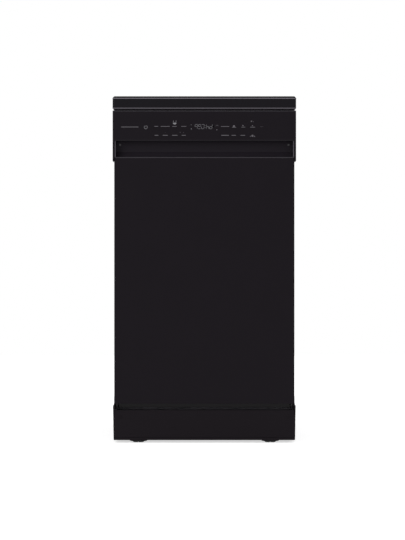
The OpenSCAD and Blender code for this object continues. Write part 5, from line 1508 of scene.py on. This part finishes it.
class DISHWASHER_OT_spray(bpy.types.Operator):
    """Builds the feed pipes and the two turning spray arms with their jets"""

    bl_idname = "dishwasher.spray"
    bl_label = "Spray system"

    HUB = (0.0, 10.0)

    def execute(self, context):
        for node, name in (("feed_duct", "feed_pipe"), ("upper_feed_tube", "upper_feed_pipe")):
            refit(node, name, "dark_grey_pp", "dark_grey_plastic", 0.7)
        self.ceiling_head()
        self.arm("lower_spray_arm", "lower_arm")
        self.arm("upper_spray_arm", "upper_arm")
        return {"FINISHED"}

    def ceiling_head(self):
        """A flat head with a ring of jets under it."""
        low, high = span("ceiling_spray")
        head = lathe([(0, low.z + 0.6), (10, low.z), (14, low.z + 0.3), (29, low.z + 4.6),
                      (30, low.z + 5.4), (30, low.z + 7.4), (29, low.z + 8), (10, low.z + 8.4),
                      (9, low.z + 9.2), (9, high.z), (0, high.z)], (*self.HUB, 0), steps=48)
        jet = lathe([(0, -0.9), (1.6, -0.9), (2.2, 0.4), (0, 0.6)], steps=10)
        jets = [(x, y, low.z + 1.4) for x, y in circle(*self.HUB, 19, 8)]
        assemble("ceiling_head", [(head, "dark_grey_pp"), copies(jet, jets, "dark_grey_pp")],
                 "ceiling_spray")

    def blade(self, side, reach, low, high):
        """One blade, flatter below than above, its tip rounded off."""
        x0, y0 = self.HUB
        start, tip, middle = 13, 14, (low + high) / 2 + 0.2
        rings = []
        for t in (0.0, 0.12, 0.3, 0.5, 0.7, 0.85, 0.93, 0.97, 0.99, 1.0):
            round_off = math.sqrt(max(1 - ((t - 0.9) / 0.1) ** 2, 0.004)) if t > 0.9 else 1
            half = 22 - 8.5 * t if t < 0.9 else tip * round_off
            tall = (high - low - 4.4) / 2 * (1 if t < 0.9 else 0.4 + 0.6 * half / tip)
            ring = []
            for c, s in ((math.cos(a), math.sin(a)) for a in turns(20)):
                u = math.copysign(abs(c) ** 0.62, c) * half
                v = math.copysign(abs(s) ** (0.75 if s > 0 else 0.4), s) * tall
                ring.append((x0 + side * (start + (reach - start) * t), y0 + side * u, middle + v))
            rings.append(ring)
        return loft(rings)

    def arm(self, node, name):
        """Two blades round a bored hub, with jets that are set to turn them."""
        low, high = span(node)
        x0, y0 = self.HUB
        reach, floor, grey = high.x - x0, low.z, "spray_arm_pp"
        inner, outer = 8.1, 20.0
        hub = lathe([(inner, floor + 0.6), (inner + 0.6, floor), (outer - 1.5, floor),
                     (outer, floor + 1.5), (outer, high.z - 3), (outer - 2, high.z - 0.8),
                     (inner + 3, high.z), (inner, high.z - 0.4)], (x0, y0, 0), steps=48,
                    closed=True)
        boss = lathe([(0, -0.8), (3.6, -0.8), (3.0, 0.5), (1.6, 0.8), (1.4, 0.1), (0, 0.1)],
                     steps=14)
        bosses = [(x0 + side * (i * reach / 7 - (4 if i == 6 else 0)),
                   y0 + side * ((i % 2) * 12 - 6) * (1 - 0.06 * i), high.z - 2.3)
                  for side in (-1, 1) for i in range(2, 7)]
        rib = soften(slab((-0.5, -6, -0.6), (0.5, 6, 0.7)), 0.2, 1)
        ribs = [(x0 + side * d, y0, high.z - 2.2) for side in (-1, 1) for d in (28, 32, 36)]
        assemble(name, [(self.blade(side, reach, floor, high.z), grey) for side in (-1, 1)]
                 + [(hub, grey), copies(boss, bosses, grey), copies(rib, ribs, grey)],
                 node)


# ---------- baskets ----------

class BasketShape:
    """What both baskets share: rims, wires bent down one side and up the other, and tines."""

    RIM_CORNER, HANDLE_DEPTH, PULL = 26.0, 4.0, 45
    BELOW = 4.1  # the long wires pass this far below the cross wires
    DROP = 2.2  # radius of the plastic drop on a free end

    def take_size(self, context, node):
        """The walls of the basket, measured to the middle of the rim wire."""
        self.sizes = context.scene.dishwasher_sizes
        low, high = span(node)
        rim = self.sizes.rim_wire / MM
        self.face = low.y + self.HANDLE_DEPTH
        self.half, self.front, self.rear = high.x - 3, self.face + rim, high.y - rim
        self.foot, self.top = low.z, high.z - 6

    def rim(self, z):
        """A closed loop with rounded corners, drawn as a path of points."""
        path = [(u, v, z) for u, v in rounded_rect((-self.half, self.front), (self.half, self.rear),
                                                   self.RIM_CORNER, 7)]
        return path + path[:1]

    def tines(self, spots, foot, height):
        """Upright tines with plastic drops on their tips, as two parts."""
        paths = [[(x, y, foot), (x, y, foot + height)] for x, y in spots]
        return [wires(paths, self.sizes.tine_wire, bend=0.0),
                copies(ball(self.DROP), [path[-1] for path in paths], "nylon_coated_wire")]

    def pull(self):
        """A moulded pull with a finger roll, on the front of the rim."""
        y, low_z, high_z = self.face, self.top - 10, self.top + 6
        outline = [(y - 0.1, low_z), (y - 3.0, low_z), (y - self.HANDLE_DEPTH, low_z + 1.5),
                   (y - self.HANDLE_DEPTH, low_z + 5), (y - 2.6, low_z + 8),
                   (y - 2.8, high_z - 4), (y - 3.9, high_z - 2), (y - 3.4, high_z - 0.4),
                   (y - 1.8, high_z), (y - 0.1, high_z - 1)]
        return soften(prism(outline, "X", -self.PULL, self.PULL), 0.5)

    def weave(self, node, name, floor, rows, columns, extra, moulded):
        """The whole basket: rims, wires across and along, the moulded parts of the frame node
        that are picked by their size and their highest corner, and the pull."""
        x, y0, y1, top, thin = self.half, self.front, self.rear, self.top, self.sizes.thin_wire
        low = floor - self.BELOW
        across = [[(-x, y, top), (-x, y, floor), (x, y, floor), (x, y, top)] for y in rows]
        along = [[(u, y0, top), (u, y0, low), (u, y1, low), (u, y1, top)] for u in columns]
        parts = [wires([self.rim(top), self.rim(floor)], self.sizes.rim_wire),
                 wires(across, thin), wires(along, thin), *extra]
        for part, corner, far in loose_parts(frame_copy(node)):
            if moulded(far - corner, far):
                parts.append((soften(part, 0.6), "mid_grey_pp"))
            else:
                part.free()
        assemble(name, parts + [(self.pull(), "mid_grey_pp")], node)


class DISHWASHER_OT_lower_basket(BasketShape, bpy.types.Operator):
    """Builds the lower basket of coated wire, its wheels and its folding plate racks"""

    bl_idname = "dishwasher.lower_basket"
    bl_label = "Lower basket"

    ROWS = (-196, -168, -140, -128, -84, -60, -36, -20, 4, 30, 44, 76, 100, 124, 140, 166, 194)
    COLUMNS = (-150, -93, -31, 31, 93, 150)
    SPOTS = spread(-150, 150, 11)

    def execute(self, context):
        self.take_size(context, "lower_basket")
        floor = span("plate_rack_front")[0].z - 6
        waist = wires([self.rim(floor + 62)], self.sizes.thin_wire)
        fixed = self.tines([(x, y) for y in (-20, 140) for x in self.SPOTS], floor, 63)
        self.weave("lower_basket", "lower_rack_basket", floor, self.ROWS, self.COLUMNS,
                   [waist, *fixed], lambda size, far: size.x > 6.5 and size.y > 9 and size.z > 9
                   and far.z < floor + 40)
        for end in ("front", "rear"):
            self.rollers("lower_wheels_" + end, end + "_rollers")
        for end in ("front", "rear"):
            self.rack("plate_rack_" + end, "folding_rack_" + end)
        return {"FINISHED"}

    def rollers(self, node, name):
        """A wheel on each side with a tread, a dished web and spokes."""
        low, high = span(node)
        radius, inner, outer = (high.z - low.z) / 2, high.x - 7.0, high.x
        y, z = (low.y + high.y) / 2, (low.z + high.z) / 2
        # The inner half of the section; the outer half mirrors it
        half = [(3.1, 0), (6, 0), (6, 1.5), (radius - 3.2, 1.9), (radius - 3, 0), (radius - 1.2, 0),
                (radius - 0.3, 0.5), (radius, 1.3)]
        profile = [(r, inner + x) for r, x in half] + [(r, outer - x) for r, x in half[::-1]]
        parts = []
        for side in (-1, 1):
            wheel = lathe([(r, side * x) for r, x in profile], (0, y, z), "X", closed=True)
            parts.append((wheel, "mid_grey_pp"))
            for angle in turns(6):
                spoke = slab((outer - 2.0, 5.6, -0.7), (outer - 0.6, radius - 2.9, 0.7))
                soften(spoke, 0.2, 1)
                about = Matrix.Rotation(angle, 3, "X")
                for vert in spoke.verts:
                    vert.co = about @ vert.co + Vector((0, y, z)) * MM
                    vert.co.x *= side
                bmesh.ops.recalc_face_normals(spoke, faces=spoke.faces)
                parts.append((spoke, "mid_grey_pp"))
        assemble(name, parts, node)

    def rack(self, node, name):
        """A turning rod with a drop at each end and its row of tines."""
        low, high = span(node)
        y, foot = (low.y + high.y) / 2, low.z + 2
        rod = wires([[(low.x + 0.3, y, foot), (high.x - 0.3, y, foot)]], self.sizes.thin_wire,
                    bend=0.0)
        ends = copies(ball(2.0), [(low.x + 2, y, foot), (high.x - 2, y, foot)], "nylon_coated_wire")
        row = self.tines([(x, y) for x in self.SPOTS], foot, high.z - foot - self.DROP)
        assemble(name, [rod, *row, ends], node)


class DISHWASHER_OT_upper_basket(BasketShape, bpy.types.Operator):
    """Builds the upper basket with its cup rows and the folding cup shelves"""

    bl_idname = "dishwasher.upper_basket"
    bl_label = "Upper basket"

    ROWS = (-190, -156, -122, -92, -61, -31, 0, 31, 62, 95, 126, 160, 192)
    COLUMNS = (-140, -87, -54.4, -18, 18, 54.4, 87, 140)
    CUPS = 54.4  # the two rows of tines stand on these columns

    def execute(self, context):
        self.take_size(context, "upper_basket")
        floor = self.foot + 6.1
        tines = self.tines([(x, y) for x in (-self.CUPS, self.CUPS) for y in spread(-184, 188, 13)],
                           floor, 44)
        self.weave("upper_basket", "upper_rack_basket", floor, self.ROWS, self.COLUMNS, tines,
                   lambda size, far: 7 < size.y < 9 < size.z < 11)
        self.shelf("cup_shelf_left", "cup_shelf_wire_left", -1)
        self.shelf("cup_shelf_right", "cup_shelf_wire_right", 1)
        return {"FINISHED"}

    def shelf(self, node, name, side):
        """A frame of one bent wire with rungs, turning on its outer wire."""
        low, high = span(node)
        z = (low.z + high.z) / 2
        inner, outer = (low.x + 2, high.x - 2)[::side]
        y0, y1, middle = low.y + 1, high.y - 1, (outer + inner) / 2
        loop = [(outer, y1, z), (inner, y1, z), (inner, y0, z), (outer, y0, z), (outer, y1, z)]
        rungs = [[(outer, y, z), (inner, y, z)] for y in spread(y0 + 30, y1 - 30, 9)]
        rungs.append([(middle, y0 + 2, z), (middle, y1 - 2, z)])
        assemble(name, [wires([loop], self.sizes.thin_wire),
                        wires(rungs, self.sizes.tine_wire, bend=0.0)], node)


class DISHWASHER_OT_cutlery(bpy.types.Operator):
    """Builds the slatted cutlery basket with its cells and its carrying bar"""

    bl_idname = "dishwasher.cutlery"
    bl_label = "Cutlery basket"

    CELLS, WALL, GREY = 6, 2.0, "mid_grey_pp"

    def execute(self, context):
        low, high = span("cutlery_basket")
        middle, length, depth = (low + high) / 2, high.x - low.x, high.y - low.y
        foot, top = low.z, high.z - 24
        cell, half = (length - self.WALL) / self.CELLS, (top - foot - 20) / 2
        # Bands round the basket: a deep foot, a waist and a top
        shapes = [self.band(low, high, z0, z1) for z0, z1 in
                  ((foot, foot + 16), (foot + 52, foot + 58), (top - 14, top))]
        for i in range(1, self.CELLS):
            shapes += self.partition(low.x + 1 + i * cell, low.y + 1.5, high.y - 1.5, foot, top)
        shapes.append(self.bow(cell, middle.y, top - 18, high.z - 4))
        # Slats between the bands, along the sides and across the ends
        slat = soften(slab((-1.3, -0.75, -half), (1.3, 0.75, half)), 0.3, 1)
        level = (top + foot) / 2
        sides = [(x, y, level) for y in (low.y + 1.0, high.y - 1.0)
                 for x in spread(low.x + 6, high.x - 6, 43)]
        ends = [(x, y, level) for x in (low.x + 1.0, high.x - 1.0)
                for y in spread(low.y + 7, high.y - 7, 9)]
        # The floor: bars along the basket between cross strips
        bar = soften(slab((1 - length / 2, -1.2, -0.9), (length / 2 - 1, 1.2, 0.9)), 0.3, 1)
        bars = [(middle.x, y, foot + 1) for y in spread(low.y + 5, high.y - 5, 11)]
        strip = soften(slab((-1.5, 1 - depth / 2, -0.8), (1.5, depth / 2 - 1, 0.8)), 0.3, 1)
        strips = [(x, middle.y, foot + 1) for x in spread(low.x + cell / 2, high.x - cell / 2, 11)]
        assemble("cutlery_caddy", [(shape, self.GREY) for shape in shapes]
                 + [copies(slat.copy(), sides, self.GREY),
                    copies(slat, ends, self.GREY, turn=(0.0, 0.0, math.pi / 2)),
                    copies(bar, bars, self.GREY), copies(strip, strips, self.GREY)],
                 "cutlery_basket")
        return {"FINISHED"}

    def band(self, low, high, z0, z1, edge=0.4):
        """A flat band with rounded corners and broken edges."""
        wall = self.WALL
        section = ((edge, z0), (0, z0 + edge), (0, z1 - edge), (edge, z1), (wall - edge, z1),
                   (wall, z1 - edge), (wall, z0 + edge), (wall - edge, z0))
        return loft([[(x, y, z) for x, y in shrunk_rect(low, high, i, 6 - i)] for i, z in section],
                    closed=True)

    def partition(self, x, y0, y1, foot, top):
        """Four rails across and three posts."""
        return [soften(slab((x - 0.9, y0, z), (x + 0.9, y1, z + deep)), 0.3, 1)
                for z, deep in ((foot + 1, 12), (foot + 36, 4), (foot + 66, 4), (top - 10, 9))] + [
            soften(slab((x - 0.8, y - 1.4, foot + 2), (x + 0.8, y + 1.4, top - 3)), 0.3, 1)
            for y in spread(y0 + 16, y1 - 16, 3)]

    def bow(self, x, y, foot, z):
        """The carrying bar: two posts that curve into a flat grip."""
        path = [(-x, foot), (-x, z - 6)] + [(-x + 6 * (1 - math.cos(a)), z - 6 + 6 * math.sin(a))
                                            for a in spread(0.3, math.pi / 2, 5)]
        path += [(-u, v) for u, v in path[::-1]]
        rings = []
        for before, (u, v), after in zip(path[:1] + path, path, path[1:] + path[-1:]):
            along = Vector((after[0] - before[0], after[1] - before[1])).normalized()
            rings.append([(u - along.y * a, y + b, v + along.x * a)
                          for a, b in rounded_rect((-2.0, -4.4), (2.0, 4.4), 1.6, 4)])
        return loft(rings)


class DISHWASHER_OT_rails(bpy.types.Operator):
    """Builds the three nested channels of the upper basket's runners"""

    bl_idname = "dishwasher.rails"
    bl_label = "Runners"

    def execute(self, context):
        for channel in ("outer", "middle", "inner"):
            refit("rail_" + channel, "runner_" + channel, "stainless_rail", "rail_steel", 0.3)
        return {"FINISHED"}


# ---------- panel and run ----------

class DISHWASHER_PT_build(bpy.types.Panel):
    """Lists the sizes, the colours and every building step"""

    bl_idname = "DISHWASHER_PT_build"
    bl_label = "Slimline dishwasher"
    bl_space_type = "VIEW_3D"
    bl_region_type = "UI"
    bl_category = "Dishwasher"

    def draw(self, context):
        for group in ("dishwasher_sizes", "dishwasher_colours", "dishwasher_studio"):
            box = self.layout.box()
            held = getattr(context.scene, group)
            for key in held.__annotations__:
                box.prop(held, key)
        for step in STEPS:
            self.layout.operator(step.bl_idname)


GROUPS = {"dishwasher_sizes": DishwasherSizes, "dishwasher_colours": DishwasherColours,
          "dishwasher_studio": DishwasherStudio}
STEPS = (
    DISHWASHER_OT_stage, DISHWASHER_OT_finishes, DISHWASHER_OT_worktop, DISHWASHER_OT_cabinet,
    DISHWASHER_OT_base, DISHWASHER_OT_door, DISHWASHER_OT_fascia, DISHWASHER_OT_latch,
    DISHWASHER_OT_hinge, DISHWASHER_OT_screws, DISHWASHER_OT_dispenser, DISHWASHER_OT_tub,
    DISHWASHER_OT_sump, DISHWASHER_OT_pumps, DISHWASHER_OT_hoses, DISHWASHER_OT_spray,
    DISHWASHER_OT_lower_basket, DISHWASHER_OT_upper_basket, DISHWASHER_OT_cutlery,
    DISHWASHER_OT_rails)


def register():
    for cls in (*GROUPS.values(), *STEPS, DISHWASHER_PT_build):
        bpy.utils.register_class(cls)
    for name, cls in GROUPS.items():
        setattr(bpy.types.Scene, name, PointerProperty(type=cls))


def unregister():
    for name in GROUPS:
        delattr(bpy.types.Scene, name)
    for cls in (DISHWASHER_PT_build, *STEPS[::-1], *GROUPS.values()):
        bpy.utils.unregister_class(cls)


def main():
    register()
    for make_tree in (wire_tree, hose_tree, helix_tree, copies_tree):
        make_tree()
    for step in STEPS:
        group, name = step.bl_idname.split(".")
        getattr(getattr(bpy.ops, group), name)()


if __name__ == "__main__":
    main()
